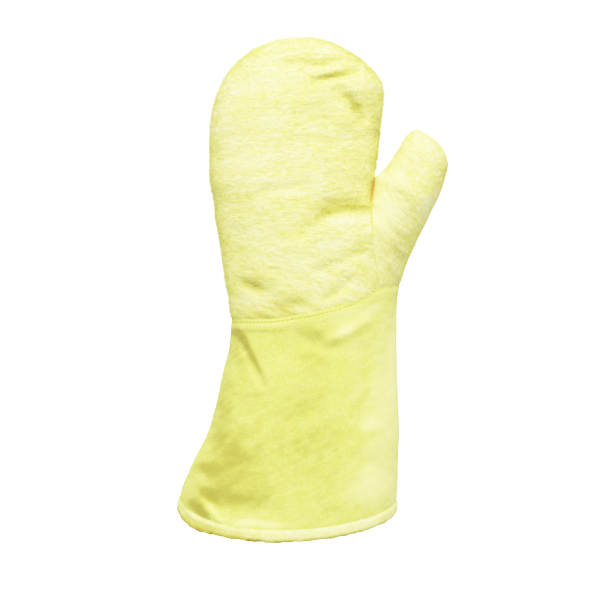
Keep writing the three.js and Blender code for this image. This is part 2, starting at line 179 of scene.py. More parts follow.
def mix(first, second, share):
    return first + (second - first) * share


def bell(distance, width):
    """A bell curve: 1 where the distance is 0, and 1/e where it is the width."""
    return np.exp(-((distance / width) ** 2))


def between(rows, key, column, at):
    """A table's column where its key column is `at`: cubic pieces whose slopes at each row are the
    harmonic mean of the steps on its two sides, so that the curve never overshoots."""
    x, y = rows[key], rows[column]
    step = np.diff(y) / np.diff(x)
    same_way = step[:-1] * step[1:] > 0
    total = np.where(same_way, step[:-1] + step[1:], 1)
    slope = np.concatenate([step[:1], np.where(same_way, 2 * step[:-1] * step[1:] / total, 0), step[-1:]])
    at = np.clip(at, x[0], x[-1])
    i = np.clip(np.searchsorted(x, at, side="right") - 1, 0, len(x) - 2)
    span = x[i + 1] - x[i]
    t = (at - x[i]) / span
    near, far = 2 * t**3 - 3 * t**2 + 1, 3 * t**2 - 2 * t**3
    leaving, arriving = t**3 - 2 * t**2 + t, t**3 - t**2
    return near * y[i] + far * y[i + 1] + span * (leaving * slope[i] + arriving * slope[i + 1])


def body(column, y):
    return between(BODY, "y", column, y)


def wrist_y(x):
    return between(WRIST, "x", "y", x)


def seam_x(y):
    return between(THUMB_SEAM, "inner_y", "inner_x", y)


def parting(y):
    """How far hand and thumb have parted: 0 below the thumb's root, 1 at the crotch."""
    return smooth(ROOT_Y, CROTCH_Y, y)


def fullness(across, form):
    """Share of a section's full height: 1 less the place across to a power, all raised to another."""
    power, rise = form
    return (1 - np.minimum(1, np.abs(across)) ** power) ** rise


def section_height(across, seam, rise, side, inset, gap=SEAM_GAP, floor=0.0):
    """Height of a section: above the seam by its rise times its fullness, or below it down to the floor
    on which the cloth lies flat."""
    start = seam + side * gap / 2
    if side > 0:
        return start + np.maximum(0, rise - inset) * fullness(across, UPPER)
    return np.maximum(floor + inset, start - (start + SETTLE - floor - inset) * fullness(across, UNDER))


def fold_height(x, y):
    """The sum of the folds: each is its height times the bell curve of the distance to its line."""
    total = 0.0
    for x0, y0, x1, y1, width, height in zip(*FOLDS.values()):
        dx, dy = x1 - x0, y1 - y0
        t = np.clip(((x - x0) * dx + (y - y0) * dy) / (dx * dx + dy * dy), 0, 1)
        away = np.hypot(x - x0 - t * dx, y - y0 - t * dy)
        total = total + height * bell(away, width)
    return total * smooth(*FOLD_FADE, np.abs(y - wrist_y(x)))


def patches(x, y, rows):
    """The sum of soft patches: each is its strength times a bell curve of the place along and across it."""
    total = 0.0
    for px, py, length, width, degrees, strength in zip(*rows.values()):
        dx, dy, turn = x - px, y - py, math.radians(degrees)
        along = (dx * math.cos(turn) + dy * math.sin(turn)) / length
        off = (dy * math.cos(turn) - dx * math.sin(turn)) / width
        total = total + strength * np.exp(-along * along - off * off)
    return total


def loose_folds(x, y, across):
    """The folds on the upper side, which fade out at its side seams."""
    return fold_height(x, y) * np.minimum(1, FOLD_EASE * fullness(across, UPPER))


def with_folds(x, y, z, across, side):
    """Points from their three coordinates, with the folds added to the upper side."""
    if side > 0:
        z = z + loose_folds(x, y, across)
    return np.stack(np.broadcast_arrays(x, y, z), axis=-1)


def body_height(x, y, side, inset):
    """Height of the one surface that hand, thumb root and cuff share."""
    left, right = body("left", y) + inset, body("right", y) - inset
    across = np.clip((2 * x - left - right) / (right - left), -1, 1)
    seam = body("seam", y)
    return section_height(across, seam, body("crown", y) - seam, side, inset)


def hand_right(y, inset):
    """The hand's right side: the thumb's seam up to the crotch, then the lesser of a straight edge and the
    arc round the fingertips, rounded where they meet."""
    beside_thumb = seam_x(y) - SEAM_GAP / 2 - inset * parting(y)
    line = EDGE_LINE["x"] + EDGE_LINE["slope"] * (y - EDGE_LINE["y"]) - inset
    radius = TIP["arc_radius"] - inset
    centre_y = SHOULDER_Y + TIP["length"] - TIP["arc_radius"]
    arc = TIP["x"] + np.sqrt(np.maximum(0, radius**2 - (y - centre_y) ** 2))
    near = np.clip((arc - line) / TIP["corner_round"], -2, 2)
    free = np.minimum(line, arc) - TIP["corner_round"] * (2 - np.abs(near)) ** 2 / 8
    return np.where(y <= CROTCH_Y, beside_thumb, free)


def hand_point(s, u, side, inset):
    """A point of the hand. s is its length: a level for s < 0 and an angle round the fingertips above
    it. u is its width from 0 to 1, side 1 the back and -1 the palm, inset the depth under the face."""
    level = SHOULDER_Y + np.where(s > 0, (TIP["length"] - inset) * np.sin(s), TIP["length"] * s)
    lift = (1 - smooth(WRIST_LEVEL, WRIST_LEVEL + WRIST_REACH, level)) ** 2
    left_y = level + lift * (wrist_y(body("left", WRIST_SIDES[0])) - WRIST_LEVEL)
    right_y = level + lift * (wrist_y(seam_x(WRIST_SIDES[1])) - WRIST_LEVEL)
    half = TIP["x"] - body("left", SHOULDER_Y) - inset
    squared = (1 - np.abs(np.sin(s)) ** TIP["power"]) ** (1 / TIP["power"])
    left = np.where(s > 0, TIP["x"] - half * squared, body("left", left_y) + inset)
    x = mix(left, hand_right(right_y, inset), u)
    y = level + lift * (wrist_y(x) - WRIST_LEVEL)
    across = 2 * u - 1
    dome = np.where(s > 0, np.abs(np.cos(s)) ** DOME_POWER, 1)
    seam = body("seam", y)
    own = section_height(across, seam, (body("crown", y) - seam) * dome, side, inset)
    z = mix(body_height(x, y, side, inset), own, parting(y))
    if side < 0:
        z = mix(seam - SEAM_GAP / 2, z, dome)
    return with_folds(x, y, z, across, side)


def terry_inset(above_seam):
    """Depth of the terry's outer face under the smooth outline: it dips where the cuff laps over it."""
    return between(TUCK, "above", "depth", above_seam)


def terry_wall(above_seam):
    return mix(TERRY_WALL, LAPPED_WALL, terry_inset(above_seam) / TUCK["depth"][0])


LATTICE = np.random.default_rng(7).uniform(-1, 1, 4096)
LATTICE_STEPS = np.array([73856093, 19349663, 83492791])
LATTICE_START = 1000
SEED_SHIFT = 31.7
# Layers of the terry's relief: streaks and clumps of loops drawn out along the grain, and lumps and waves
# under them. Each layer of clouds is its size on three axes and its strength.
PILE_RELIEF = ((5.0, 1.5, 5.0, 0.26), (2.2, 1.4, 2.2, 0.24), (14.0, 8.0, 14.0, 0.35), (34.0, 22.0, 40.0, 0.7))
GRAIN_HEIGHT = 0.3
TINY = 1e-9
MERGE_WITHIN = 1e-6
DISSOLVE_UNDER = 1e-7
INNER_STEP = 4
COARSE = (slice(None, None, INNER_STEP),) * 2


def clouds(points, size, seed):
    """Value noise from -1 to 1: random numbers on a lattice whose cells are `size` wide, blended by
    smooth steps along each axis."""
    place = points / np.array(size, float) + SEED_SHIFT * seed + LATTICE_START
    cell = np.floor(place).astype(np.int64)
    share = place - cell
    share = share * share * (3 - 2 * share)
    total = 0.0
    for corner in np.ndindex(2, 2, 2):
        key = (cell + corner) * LATTICE_STEPS
        key = key[..., 0] ^ key[..., 1] ^ key[..., 2]
        weight = np.prod(np.where(corner, share, 1 - share), axis=-1)
        total = total + weight * LATTICE[key & (len(LATTICE) - 1)]
    return total


def layered(points, layers, seed):
    """The sum of several layers of clouds, each a size on three axes and a strength."""
    total = 0.0
    for k, (*size, strength) in enumerate(layers):
        total = total + strength * clouds(points, size, seed + k)
    return total


def unit(vectors):
    length = np.linalg.norm(vectors, axis=-1, keepdims=True)
    return vectors / np.maximum(length, TINY)


def face_normals(points, side):
    """Unit normals of a grid, from the cross product of its two directions."""
    return side * unit(np.cross(np.gradient(points, axis=1), np.gradient(points, axis=0)))


def rim_distance(points):
    """Distance of each grid point to the nearest of its row's sides and the grid's last row, and its
    distance along its row from the left side."""
    widths = np.linalg.norm(np.diff(points, axis=1), axis=-1)
    lengths = np.linalg.norm(np.diff(points, axis=0), axis=-1)
    from_left = np.pad(np.cumsum(widths, axis=1), ((0, 0), (1, 0)))
    from_first = np.pad(np.cumsum(lengths, axis=0), ((1, 0), (0, 0)))
    to_side = np.minimum(from_left, from_left[:, -1:] - from_left)
    return np.minimum(to_side, from_first[-1:] - from_first), from_left


def grain_of(points, along_row, middle, angle):
    """Pattern coordinates that lie on the cloth: the length along its row from a middle column and the
    level, turned by the angle at which its threads or loops lie, and a share of the height."""
    across = along_row - along_row[:, middle : middle + 1]
    level = points[..., 1]
    return np.stack([
        across * np.cos(angle) + level * np.sin(angle), level * np.cos(angle) - across * np.sin(angle),
        points[..., 2] * GRAIN_HEIGHT], axis=-1)


def to_frame(points):
    """Points of the tables, in millimetres, as points of the frame, in metres."""
    return (points - np.array([0, CENTRE_Y, 0])) * METRE


def quads(*corners):
    """Faces of four corners each, from four grids of point numbers."""
    return np.stack(corners, axis=-1).reshape(-1, 4).tolist()


def cloth_mesh(name, points, faces, looks):
    """A mesh with the looks of its points as attributes: the grain is a vector, the others are numbers."""
    mesh = bpy.data.meshes.new(name)
    mesh.from_pydata(to_frame(points.reshape(-1, 3)), [], faces)
    for label, values in looks.items():
        kind, field = ("FLOAT_VECTOR", "vector") if label == "grain" else ("FLOAT", "value")
        mesh.attributes.new(label, kind, "POINT").data.foreach_set(field, values.astype(np.float32).ravel())
    return mesh


def placed(name, mesh):
    """An object of a mesh, in the scene."""
    thing = bpy.data.objects.new(name, mesh)
    bpy.context.scene.collection.objects.link(thing)
    return thing


def finished(name, mesh):
    """A smooth object from a mesh whose doubled points are merged, so that its poles are closed."""
    work = bmesh.new()
    work.from_mesh(mesh)
    bmesh.ops.remove_doubles(work, verts=work.verts, dist=MERGE_WITHIN)
    bmesh.ops.dissolve_degenerate(work, edges=work.edges, dist=DISSOLVE_UNDER)
    work.to_mesh(mesh)
    work.free()
    mesh.shade_smooth()
    return placed(name, mesh)


def dressed(piece, material):
    """The piece in its material and slot, riding on the mitten's one body."""
    piece.data.materials.append(material)
    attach(piece, "root")
    return piece


def cloth_wall(name, outer, inner, side, attributes):
    """A closed wall of cloth: the outer grid, the inner grid with every fourth row and column, and a rim of
    faces that each join four outer edges to one inner edge."""
    rows, columns = outer.shape[:2]
    inner_rows, inner_columns = inner.shape[:2]
    start = rows * columns
    number = np.arange(start).reshape(rows, columns)
    inner_number = start + np.arange(inner_rows * inner_columns).reshape(inner_rows, inner_columns)
    faces = []
    for grid, way in ((number, side), (inner_number, -side)):
        corners = [grid[:-1, :-1], grid[:-1, 1:], grid[1:, 1:], grid[1:, :-1]]
        faces += quads(*corners[::way])

    def loop(grid):
        return np.concatenate([grid[0, :-1], grid[:-1, -1], grid[-1, :0:-1], grid[:0:-1, 0]])

    outer_loop, inner_loop = loop(number), loop(inner_number)
    for k, a in enumerate(inner_loop):
        b = inner_loop[(k + 1) % len(inner_loop)]
        run = outer_loop[(k * INNER_STEP + np.arange(INNER_STEP + 1)) % len(outer_loop)]
        face = [run[0], a, b, *run[:0:-1]]
        faces.append([int(v) for v in face[::side]])
    points = np.concatenate([outer.reshape(-1, 3), inner.reshape(-1, 3)])
    looks = {
        label: np.concatenate([grid.reshape(-1) for grid in values]) for label, values in attributes.items()}
    return finished(name, cloth_mesh(name, points, faces, looks))


class Value:
    """A socket of a material. Adding, taking away or multiplying makes a Math node."""

    def __init__(self, paint, socket):
        self.paint, self.socket = paint, socket

    def maths(self, operation, first, second):
        return self.paint.node("ShaderNodeMath", {"operation": operation}, {0: first, 1: second})

    def __add__(self, other):
        return self.maths("ADD", self, other)

    def __radd__(self, other):
        return self.maths("ADD", other, self)

    def __sub__(self, other):
        return self.maths("SUBTRACT", self, other)

    def __rsub__(self, other):
        return self.maths("SUBTRACT", other, self)

    def __mul__(self, other):
        return self.maths("MULTIPLY", self, other)

    def __rmul__(self, other):
        return self.maths("MULTIPLY", other, self)

    def limited(self, low, high):
        """0 at low, 1 at high, and held between them."""
        return self.paint.node("ShaderNodeMapRange", {"interpolation_type": "SMOOTHSTEP"}, {
            "Value": self, "From Min": low, "From Max": high})


class Paint:
    """A material and its nodes."""

    def __init__(self, name):
        self.material = bpy.data.materials.new(name)
        self.material.use_nodes = True
        self.nodes = self.material.node_tree.nodes
        self.links = self.material.node_tree.links
        self.shader = next(n for n in self.nodes if n.type == "BSDF_PRINCIPLED")

    def node(self, kind, settings=(), inputs=(), output=0):
        """A node of a kind, with its settings made first and then its sockets filled or linked."""
        made = self.nodes.new(kind)
        for key, value in dict(settings).items():
            setattr(made, key, value)
        self.fill(made, inputs)
        return Value(self, made.outputs[output])

    def fill(self, node, inputs):
        for key, value in dict(inputs).items():
            if isinstance(value, Value):
                self.links.new(value.socket, node.inputs[key])
            else:
                node.inputs[key].default_value = value

    def attribute(self, name, output="Fac"):
        return self.node("ShaderNodeAttribute", {"attribute_name": name}, {}, output)

    def stretched(self, vector, scale):
        return self.node("ShaderNodeVectorMath", {"operation": "MULTIPLY"}, {0: vector, 1: scale})

    def noise(self, vector, detail, roughness):
        return self.node("ShaderNodeTexNoise", {}, {
            "Vector": vector, "Scale": 1.0, "Detail": detail, "Roughness": roughness})

    def blend(self, share, first, second):
        """The first colour where share is 0, the second where it is 1."""
        return self.node("ShaderNodeMix", {"data_type": "RGBA"}, {0: share, 6: first, 7: second}, output=2)

    def bump(self, height, strength, distance):
        return self.node("ShaderNodeBump", {}, {
            "Height": height, "Strength": strength, "Distance": distance})


def linear(red, green, blue):
    """A colour given in the 0 to 255 of a screen, as the light that it stands for."""
    share = np.array([red, green, blue]) / 255
    light = np.where(share <= 0.04045, share / 12.92, ((share + 0.055) / 1.055) ** 2.4)
    return (*light.tolist(), 1.0)


# Every cloth here mixes its colour from three noises along its grain: streaks, loops and wear.
NOISE_DETAIL = ((3.0, 0.6), (2.0, 0.5), (2.0, 0.5))
NOISE_SHARES = (0.45, 0.4, 0.15)
HIGH_TO_LOW = (0.60, 0.40)
DEEP_BETWEEN_LOOPS = 1.4
LESS_ON_LOOPS = 0.9
BUMP_STRENGTH = 0.7


def cloth_material(name, colours, scales, bump_distance, painted_glow=0.0):
    """A fabric: pale tips over deeper yarn in a noise along the grain, deeper or paler where the tone
    attribute says, which holds painted shade and painted light besides tone that differs at random, and a
    warmer colour of painted shade in slits, creases and folded edges, for light that goes from yarn to yarn
    there. The painted glow is the share of that colour given off as light, a painted light though the cloth
    is no lamp."""
    high, low, deep, pale, warm_shade = (linear(*colour) for colour in colours)
    paint = Paint(name)
    grain, tone = paint.attribute("grain", "Vector"), paint.attribute("tone")
    streaks, loops, wear = (
        paint.noise(paint.stretched(grain, scale), *detail) for scale, detail in zip(scales, NOISE_DETAIL))
    mixed = streaks * NOISE_SHARES[0] + loops * NOISE_SHARES[1] + wear * NOISE_SHARES[2]
    colour = paint.blend(mixed.limited(*HIGH_TO_LOW), high, low)
    deeper = tone.limited(0.0, 1.0) * (DEEP_BETWEEN_LOOPS - LESS_ON_LOOPS * loops)
    colour = paint.blend(deeper, colour, deep)
    colour = paint.blend((tone * -1.0).limited(0.0, 1.0), colour, pale)
    in_warm_shade = paint.attribute("warm_shade").limited(0.0, 1.0)
    colour = paint.blend(in_warm_shade, colour, warm_shade)
    # The warm colour given off as a painted glow, though the cloth is no lamp.
    light = paint.blend(in_warm_shade, (0, 0, 0, 1), tuple(painted_glow * part for part in warm_shade[:3]) + (1.0,))
    bump = paint.bump(streaks * 0.5 + loops * 0.5, BUMP_STRENGTH, bump_distance)
    paint.fill(paint.shader, {"Base Color": colour, "Roughness": 0.95, "Normal": bump, "Sheen Weight": 0.2,
                              "Sheen Roughness": 0.6, "Specular IOR Level": 0.15,
                              "Emission Color": light, "Emission Strength": 1.0})
    return paint.material


# The terry's colours: its tips, its yarn, the deep and pale ends of its tone, where painted shade and painted
# light go, and the warmer colour of painted shade in slits.
TERRY_COLOURS = {
    "high": (253, 252, 194), "low": (241, 239, 136), "deep": (201, 196, 97), "pale": (255, 255, 216),
    "warm_shade": (200, 160, 52),
}
TERRY_SCALES = ((150.0, 1200.0, 300.0), (600.0, 1300.0, 700.0), (30.0, 60.0, 40.0))
TERRY_BUMP = 0.0006
# The share of the slit's warm painted shade that is also given off as a painted glow.
TERRY_PAINTED_GLOW = 0.36
# Patches of painted shade in the terry's dents and folds, and of painted light where a strength is negative.
TERRY_LIGHT_AND_SHADE = table(
    "x y length width degrees strength",
    (4, 180, 26, 5, 4, 0.65),
    (16, 168.5, 16, 3, 12, 0.85),
    (32.5, 146.5, 17, 4.2, -52, 0.55),
    (36, 143, 7, 5, -45, 0.55),
    (47, 146, 7, 5, 0, 0.3),
    (51, 134, 15, 6, 90, 0.5),
    (11, 138, 22, 9, -8, 0.3),
    (6, 124, 22, 14, 0, 0.15),
    (35, 119, 5, 3, 0, 0.2),
    (45, 159, 11, 6, 0, -0.4),
    (-48, 130, 28, 26, 0, -0.12),
    (-50, 83, 20, 10, 0, -0.35),
    (-24, 80, 16, 3, 5, 0.3),
    (31, 69, 16, 7, -4, 0.5),
    (37, 65, 12, 2.4, 3, 0.65),
    (18, 72, 12, 8, 0, 0.25),
    (12, 58, 18, 6, 20, 0.3),
    (8, 58, 15, 5, 42, 0.5),
    (30, 54, 13, 4, 0, -0.3),
    (22, 38, 14, 6, 15, -0.35),
    (40, 49, 7, 2.8, 8, 0.7),
    (22, 23, 16, 3.5, 23, 0.25),
    (20, -2, 6, 3, 35, 0.35),
    (-46, 4, 13, 5, -18, 0.6),
    (-46, 13, 12, 6, -20, 0.35),
    (-60, 42, 16, 12, 20, 0.2),
    (-36, -4, 14, 4, -25, 0.35),
    (-55, -17, 9, 4, 0, -0.2),
    (-51, -9, 9, 6, 0, -0.3),
    (-19, -13, 18, 6, 5, 0.7),
    (66, 22, 9, 6, 60, 0.2),
    (88, 58, 12, 9, 60, -0.35),
    (60, 7, 12, 7, 0, 0.2),
    (68, 36, 30, 12, 70, 0.25),
    (80, 100, 13, 8, 60, 0.25),
    (97, 76, 9, 5, 70, -0.3),
    (93, 68, 9, 6, 60, -0.4),
    (-66, 140, 16, 30, 0, -0.15),
)
TERRY_STREAKS = (20.0, 3.0, 20.0, 0.3)
TERRY_WEAR = (26.0, 12.0, 30.0, 0.12)
WRIST_SHADE = {"strength": 0.5, "reach": 10.0, "plain": (-40.0, 15.0)}
# Painted light on the terry's flanks that face left.
LEFT_FLANK_LIGHT = {"strength": 0.55, "outer_side": (0.3, -0.3)}
FACING_UP = (-0.5, 0.0)
# Where the warm painted shade of the crotch's slit lies, and of the thin line of the seam below it.
SLIT = {
    "width": 4.0, "from": 66.0, "full": 80.0, "end": 90.0,
    "line": 0.6, "line_width": 0.8, "line_fade": (28.0, 60.0),
}
GROOVE = {"depth": 0.9, "width": 1.8, "fade": (10.0, 60.0), "past_crotch": 2.0, "past_row": 0.5}
HAND_GRAIN = table("y degrees", (-35, -28), (0, -18), (40, 0), (100, 4), (170, 8), (200, 8))
HAND_ROWS = (200, 120)
HAND_COLUMNS = 184
PILE_FADE = 2.5
PILE_START = (-2.0, 2.5)
NOTCH = {"x": 52.5, "y": 91.0, "clear": 4.5}
TERRY_PILE = {
    "length": (1.8, 4.4), "width": (0.05, 0.09), "rise": (0.03, 0.36), "scatter": 0.13, "tip_paler": 0.3,
    "rim": 14.0,
}
SPIKE = {"sunk": 0.5, "ridge": 1.5, "side_rise": 2.5}

Cloth = namedtuple("Cloth", "piece face side angle looks slot")
terry = cloth_material("terry", TERRY_COLOURS.values(), TERRY_SCALES, TERRY_BUMP, TERRY_PAINTED_GLOW)


def facing_up(normals):
    """1 where the cloth faces up, 0 on its sides and underneath."""
    return smooth(*FACING_UP, normals[..., 2])


def terry_tone(base, above, side, grain):
    """How much deeper or paler the terry is: patches of painted shade, with painted light where a strength is
    negative;
    a band of painted shade above the cuff, where the terry dips under its edge; painted light on its flanks
    that face left; and streaks and clouds of tone that differs at random."""
    x, y = base[..., 0], base[..., 1]
    shade = WRIST_SHADE["strength"] * (1 - smooth(0, WRIST_SHADE["reach"], above))
    shade = shade * (1 - smooth(*WRIST_SHADE["plain"], x))
    normals = face_normals(base, side)
    upright = (1 - np.abs(normals[..., 2])) ** 2
    # Painted light on the flanks that face left.
    sides = LEFT_FLANK_LIGHT["strength"] * upright * smooth(*LEFT_FLANK_LIGHT["outer_side"], normals[..., 0])
    painted_light_and_shade = patches(x, y, TERRY_LIGHT_AND_SHADE) * facing_up(normals)
    return painted_light_and_shade + shade - sides + layered(grain, [TERRY_STREAKS], 16) + layered(base, [TERRY_WEAR], 15)


def crotch_slit(base, to_seam):
    """Where the warm painted shade lies: 1 deep between hand and thumb at the crotch, and less on the thin
    line of their seam below it.
    """
    y = base[..., 1]
    deep = bell(to_seam, SLIT["width"]) * smooth(SLIT["from"], SLIT["full"], y)
    line = SLIT["line"] * bell(to_seam, SLIT["line_width"]) * smooth(*SLIT["line_fade"], y)
    return np.maximum(deep, line) * (1 - smooth(CROTCH_Y, SLIT["end"], y))


def panel_grid(first, last, rows, columns):
    """Stops along a panel from first to last and on by an angle round its tip, and shares across it that
    are half of 1 less the cosine of an even angle, so that they stand closer at its sides."""
    round_tip = last + np.linspace(0, np.pi / 2, rows[1] + 1)
    stops = np.concatenate([np.linspace(first, last, rows[0], endpoint=False), round_tip])
    shares = (1 - np.cos(np.linspace(0, np.pi, columns + 1))) / 2
    return np.meshgrid(stops, shares, indexing="ij")


def terry_panel(name, side, seed, base, inner, above, angle, seam):
    """A closed wall of terry between its smooth outer grid and its inner grid. Relief of brushed loops
    stands on its face, and a groove runs along the seam that joins hand and thumb."""
    to_rim, from_left = rim_distance(base)
    grain = grain_of(base, from_left, base.shape[1] // 2, angle)
    relief = layered(grain, PILE_RELIEF, seed) * smooth(0, PILE_FADE, to_rim) * smooth(*PILE_START, above)
    groove = GROOVE["depth"] * bell(seam["away"], GROOVE["width"]) * smooth(*GROOVE["fade"], base[..., 1])
    outer = base + face_normals(base, side) * relief[..., None]
    outer[..., 2] = np.maximum(outer[..., 2] - side * groove * seam["joined"], 0)
    looks = {"grain": grain * METRE, "tone": terry_tone(base, above, side, grain), "warm_shade": seam["warm_shade"]}
    piece = cloth_wall(name, outer, inner, side, {
        label: (values, values[COARSE]) for label, values in looks.items()})
    return Cloth(dressed(piece, terry), outer, side, angle, looks, "terry")


def hand_panel(name, side, rows, columns, seed):
    """A panel of the hand, from its end under the cuff to the shoulder and on round the fingertips."""
    s, u = panel_grid((WRIST_LEVEL - LAP - SHOULDER_Y) / TIP["length"], 0, rows, columns)
    above = SHOULDER_Y + TIP["length"] * s - WRIST_LEVEL
    inset = terry_inset(above)
    base = hand_point(s, u, side, inset)
    inner = hand_point(s[COARSE], u[COARSE], side, (inset + terry_wall(above))[COARSE])
    angle = np.radians(between(HAND_GRAIN, "y", "degrees", base[..., 1]))
    from_left = rim_distance(base)[1]
    to_thumb = from_left[:, -1:] - from_left
    joined = base[..., 1] < CROTCH_Y + GROOVE["past_crotch"]
    seam = {"away": to_thumb, "joined": joined, "warm_shade": crotch_slit(base, to_thumb)}
    return terry_panel(name, side, seed, base, inner, above, angle, seam)


def in_cells(grid, i, j, p, q):
    """Values of a grid inside its cells (i, j), at shares p across and q along them."""
    if grid.ndim == 2:
        p, q = p[..., 0], q[..., 0]
    return mix(mix(grid[i, j], grid[i, j + 1], p), mix(grid[i + 1, j], grid[i + 1, j + 1], p), q)


def fibres(name, cloth, pile):
    """Fibres that lie on a face of cloth along its grain: each is a spike on three corners whose tip is a
    length along the cloth and a little up from its root. They stand closer and more upright on its
    sides, and none stand in the notch at the crotch."""
    rng = np.random.default_rng(pile["seed"])
    face, count = cloth.face, pile["count"]
    area = np.linalg.norm(np.cross(face[1:, 1:] - face[:-1, :-1], face[1:, :-1] - face[:-1, 1:]), axis=-1)
    normals = face_normals(face, cloth.side)[:-1, :-1]
    weight = area * (1 + pile["rim"] * (1 - np.abs(normals[..., 2])) ** 2)
    to_notch = np.hypot(face[:-1, :-1, 0] - NOTCH["x"], face[:-1, :-1, 1] - NOTCH["y"])
    weight = weight * (to_notch > NOTCH["clear"])
    cell = rng.choice(area.size, count, p=weight.ravel() / weight.sum())
    i, j = np.unravel_index(cell, area.shape)
    p, q = rng.random((2, count, 1))
    root = in_cells(face, i, j, p, q)
    across = unit(mix(face[i, j + 1] - face[i, j], face[i + 1, j + 1] - face[i + 1, j], q) + TINY)
    along = mix(face[i + 1, j] - face[i, j], face[i + 1, j + 1] - face[i, j + 1], p)
    up = unit(np.cross(across, along))
    ahead = np.cross(up, across)
    turn = in_cells(cloth.angle, i, j, p, q)[:, None] + rng.normal(0, pile["scatter"], (count, 1))
    lie = (across * np.cos(turn) + ahead * np.sin(turn)) * rng.choice([-1, 1], (count, 1))
    outward = up * cloth.side
    steeper = 1 + SPIKE["side_rise"] * (1 - np.abs(outward[:, 2:]))
    rise = rng.uniform(*pile["rise"], (count, 1)) * steeper
    length = rng.uniform(*pile["length"], (count, 1))
    width = rng.uniform(*pile["width"], (count, 1))
    tip = root + length * (lie * np.cos(rise) + outward * np.sin(rise))
    beside = np.cross(outward, lie)
    foot = root - SPIKE["sunk"] * width * outward
    ridge = foot + SPIKE["ridge"] * outward * width
    points = np.stack([foot - beside * width, foot + beside * width, ridge, tip], axis=1)
    points[..., 2] = np.maximum(points[..., 2], 0)
    start = points.shape[1] * np.arange(count)[:, None, None]
    faces = (start + np.array([(0, 2, 1), (0, 1, 3), (1, 2, 3), (2, 0, 3)])).reshape(-1, 3)
    looks = {
        label: np.repeat(in_cells(grid, i, j, p, q).reshape(count, 1, -1), points.shape[1], axis=1)
        for label, grid in cloth.looks.items()}
    looks["tone"][:, 3] -= pile["tip_paler"]
    made = placed(name, cloth_mesh(name, points, faces.tolist(), looks))
    dressed(made, cloth.piece.data.materials[0])


back = hand_panel("back_terry", 1, HAND_ROWS, HAND_COLUMNS, 1)
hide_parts("back_panel")
fibres("back_pile", back, {**TERRY_PILE, "count": 45000, "seed": 41})

# The palm is the same terry, cut to the same outline, and pressed flat where the mitten lies on it.
PALM_ROWS = (140, 80)
PALM_COLUMNS = 132
palm = hand_panel("palm_terry", -1, PALM_ROWS, PALM_COLUMNS, 5)
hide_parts("palm_panel")
fibres("palm_pile", palm, {**TERRY_PILE, "count": 12000, "seed": 42})

# The thumb is two halves of the same terry, cut on the slant so that its rows of loops run down towards
# the outer side. A seam joins it to the hand from the crotch to the cuff.
THUMB_SEAM_HEIGHT = 18.0
THUMB_FULLNESS = 0.46
THUMB_TIP = {"length": 21.5, "apex": -8.6, "inner_power": 3.5}
THUMB_SEAM_ROWS = 3
THUMB_ROWS = (128, 64)
THUMB_COLUMNS = 88
THUMB_GRAIN = math.radians(-33)
# Warm painted shade on the thumb's inner seam just past the crotch.
THUMB_SLIT = {"share": 0.3, "width": 3.0, "rise": (86.0, 92.0)}
SHORT_PILE = {**TERRY_PILE, "length": (1.1, 2.9), "scatter": 0.09, "tip_paler": 0.2}


def thumb_point(r, u, side, inset):
    """A point of the thumb. r is a row of its table, and past the last one an angle round the tip, whose
    inner half is a squarer curve than the outer one. u is 0 on its inner seam and 1 on its outer one."""
    last = THUMB["row"][-1]
    row, angle = np.minimum(r, last), np.maximum(r - last, 0)
    inner_x, inner_y, outer_x, outer_y = (
        between(THUMB, "row", name, row) for name in ("inner_x", "inner_y", "outer_x", "outer_y"))
    below = row < CROTCH_ROW
    inner = np.stack([np.where(below, seam_x(inner_y) + SEAM_GAP / 2, inner_x), inner_y], axis=-1)
    outer = np.stack([np.where(below, body("right", outer_y), outer_x), outer_y], axis=-1)
    across = unit(outer - inner)
    ahead = np.stack([-across[..., 1], across[..., 0]], axis=-1)
    apart = np.where(below, parting(inner_y), 1)
    depth = np.broadcast_to(inset, r.shape)
    inner = inner + across * (depth * apart)[..., None]
    outer = outer - across * depth[..., None]
    half = np.linalg.norm(outer - inner, axis=-1) / 2
    power, apex = THUMB_TIP["inner_power"], THUMB_TIP["apex"]
    reach = np.sin(angle)
    squared = (1 - reach**power) ** (1 / power)
    from_x = apex - (half + apex) * squared
    to_x = apex + (half - apex) * np.cos(angle)
    place = (inner + outer) / 2 + across * mix(from_x, to_x, u)[..., None]
    place = place + ahead * ((THUMB_TIP["length"] - depth) * reach)[..., None]
    x, y = place[..., 0], place[..., 1]
    seam = mix(body("seam", y), THUMB_SEAM_HEIGHT, smooth(CROTCH_ROW, CROTCH_ROW + THUMB_SEAM_ROWS, r))
    dome = np.abs(np.cos(angle)) ** DOME_POWER
    rise = (2 * half + 2 * depth) * THUMB_FULLNESS * dome
    own = section_height(2 * u - 1, seam, rise, side, depth)
    z = mix(body_height(x, y, side, depth), own, apart)
    if side < 0:
        z = mix(seam - SEAM_GAP / 2, z, dome)
    return with_folds(x, y, z, 2 * u - 1, side)


def thumb_half(name, side, seed):
    """A half of the thumb, from its end under the cuff to its last row and on round its tip."""
    r, u = panel_grid(0, THUMB["row"][-1], THUMB_ROWS, THUMB_COLUMNS)
    smooth_outline = thumb_point(r, u, side, 0.0)
    above = smooth_outline[..., 1] - wrist_y(smooth_outline[..., 0])
    inset = terry_inset(above)
    base = thumb_point(r, u, side, inset)
    inner = thumb_point(r[COARSE], u[COARSE], side, (inset + terry_wall(above))[COARSE])
    from_left = rim_distance(base)[1]
    beyond = THUMB_SLIT["share"] * bell(from_left, THUMB_SLIT["width"])
    warm_shade = crotch_slit(base, from_left) + beyond * smooth(*THUMB_SLIT["rise"], base[..., 1])
    seam = {"away": from_left, "joined": r < CROTCH_ROW + GROOVE["past_row"], "warm_shade": warm_shade}
    return terry_panel(name, side, seed, base, inner, above, np.full(r.shape, THUMB_GRAIN), seam)


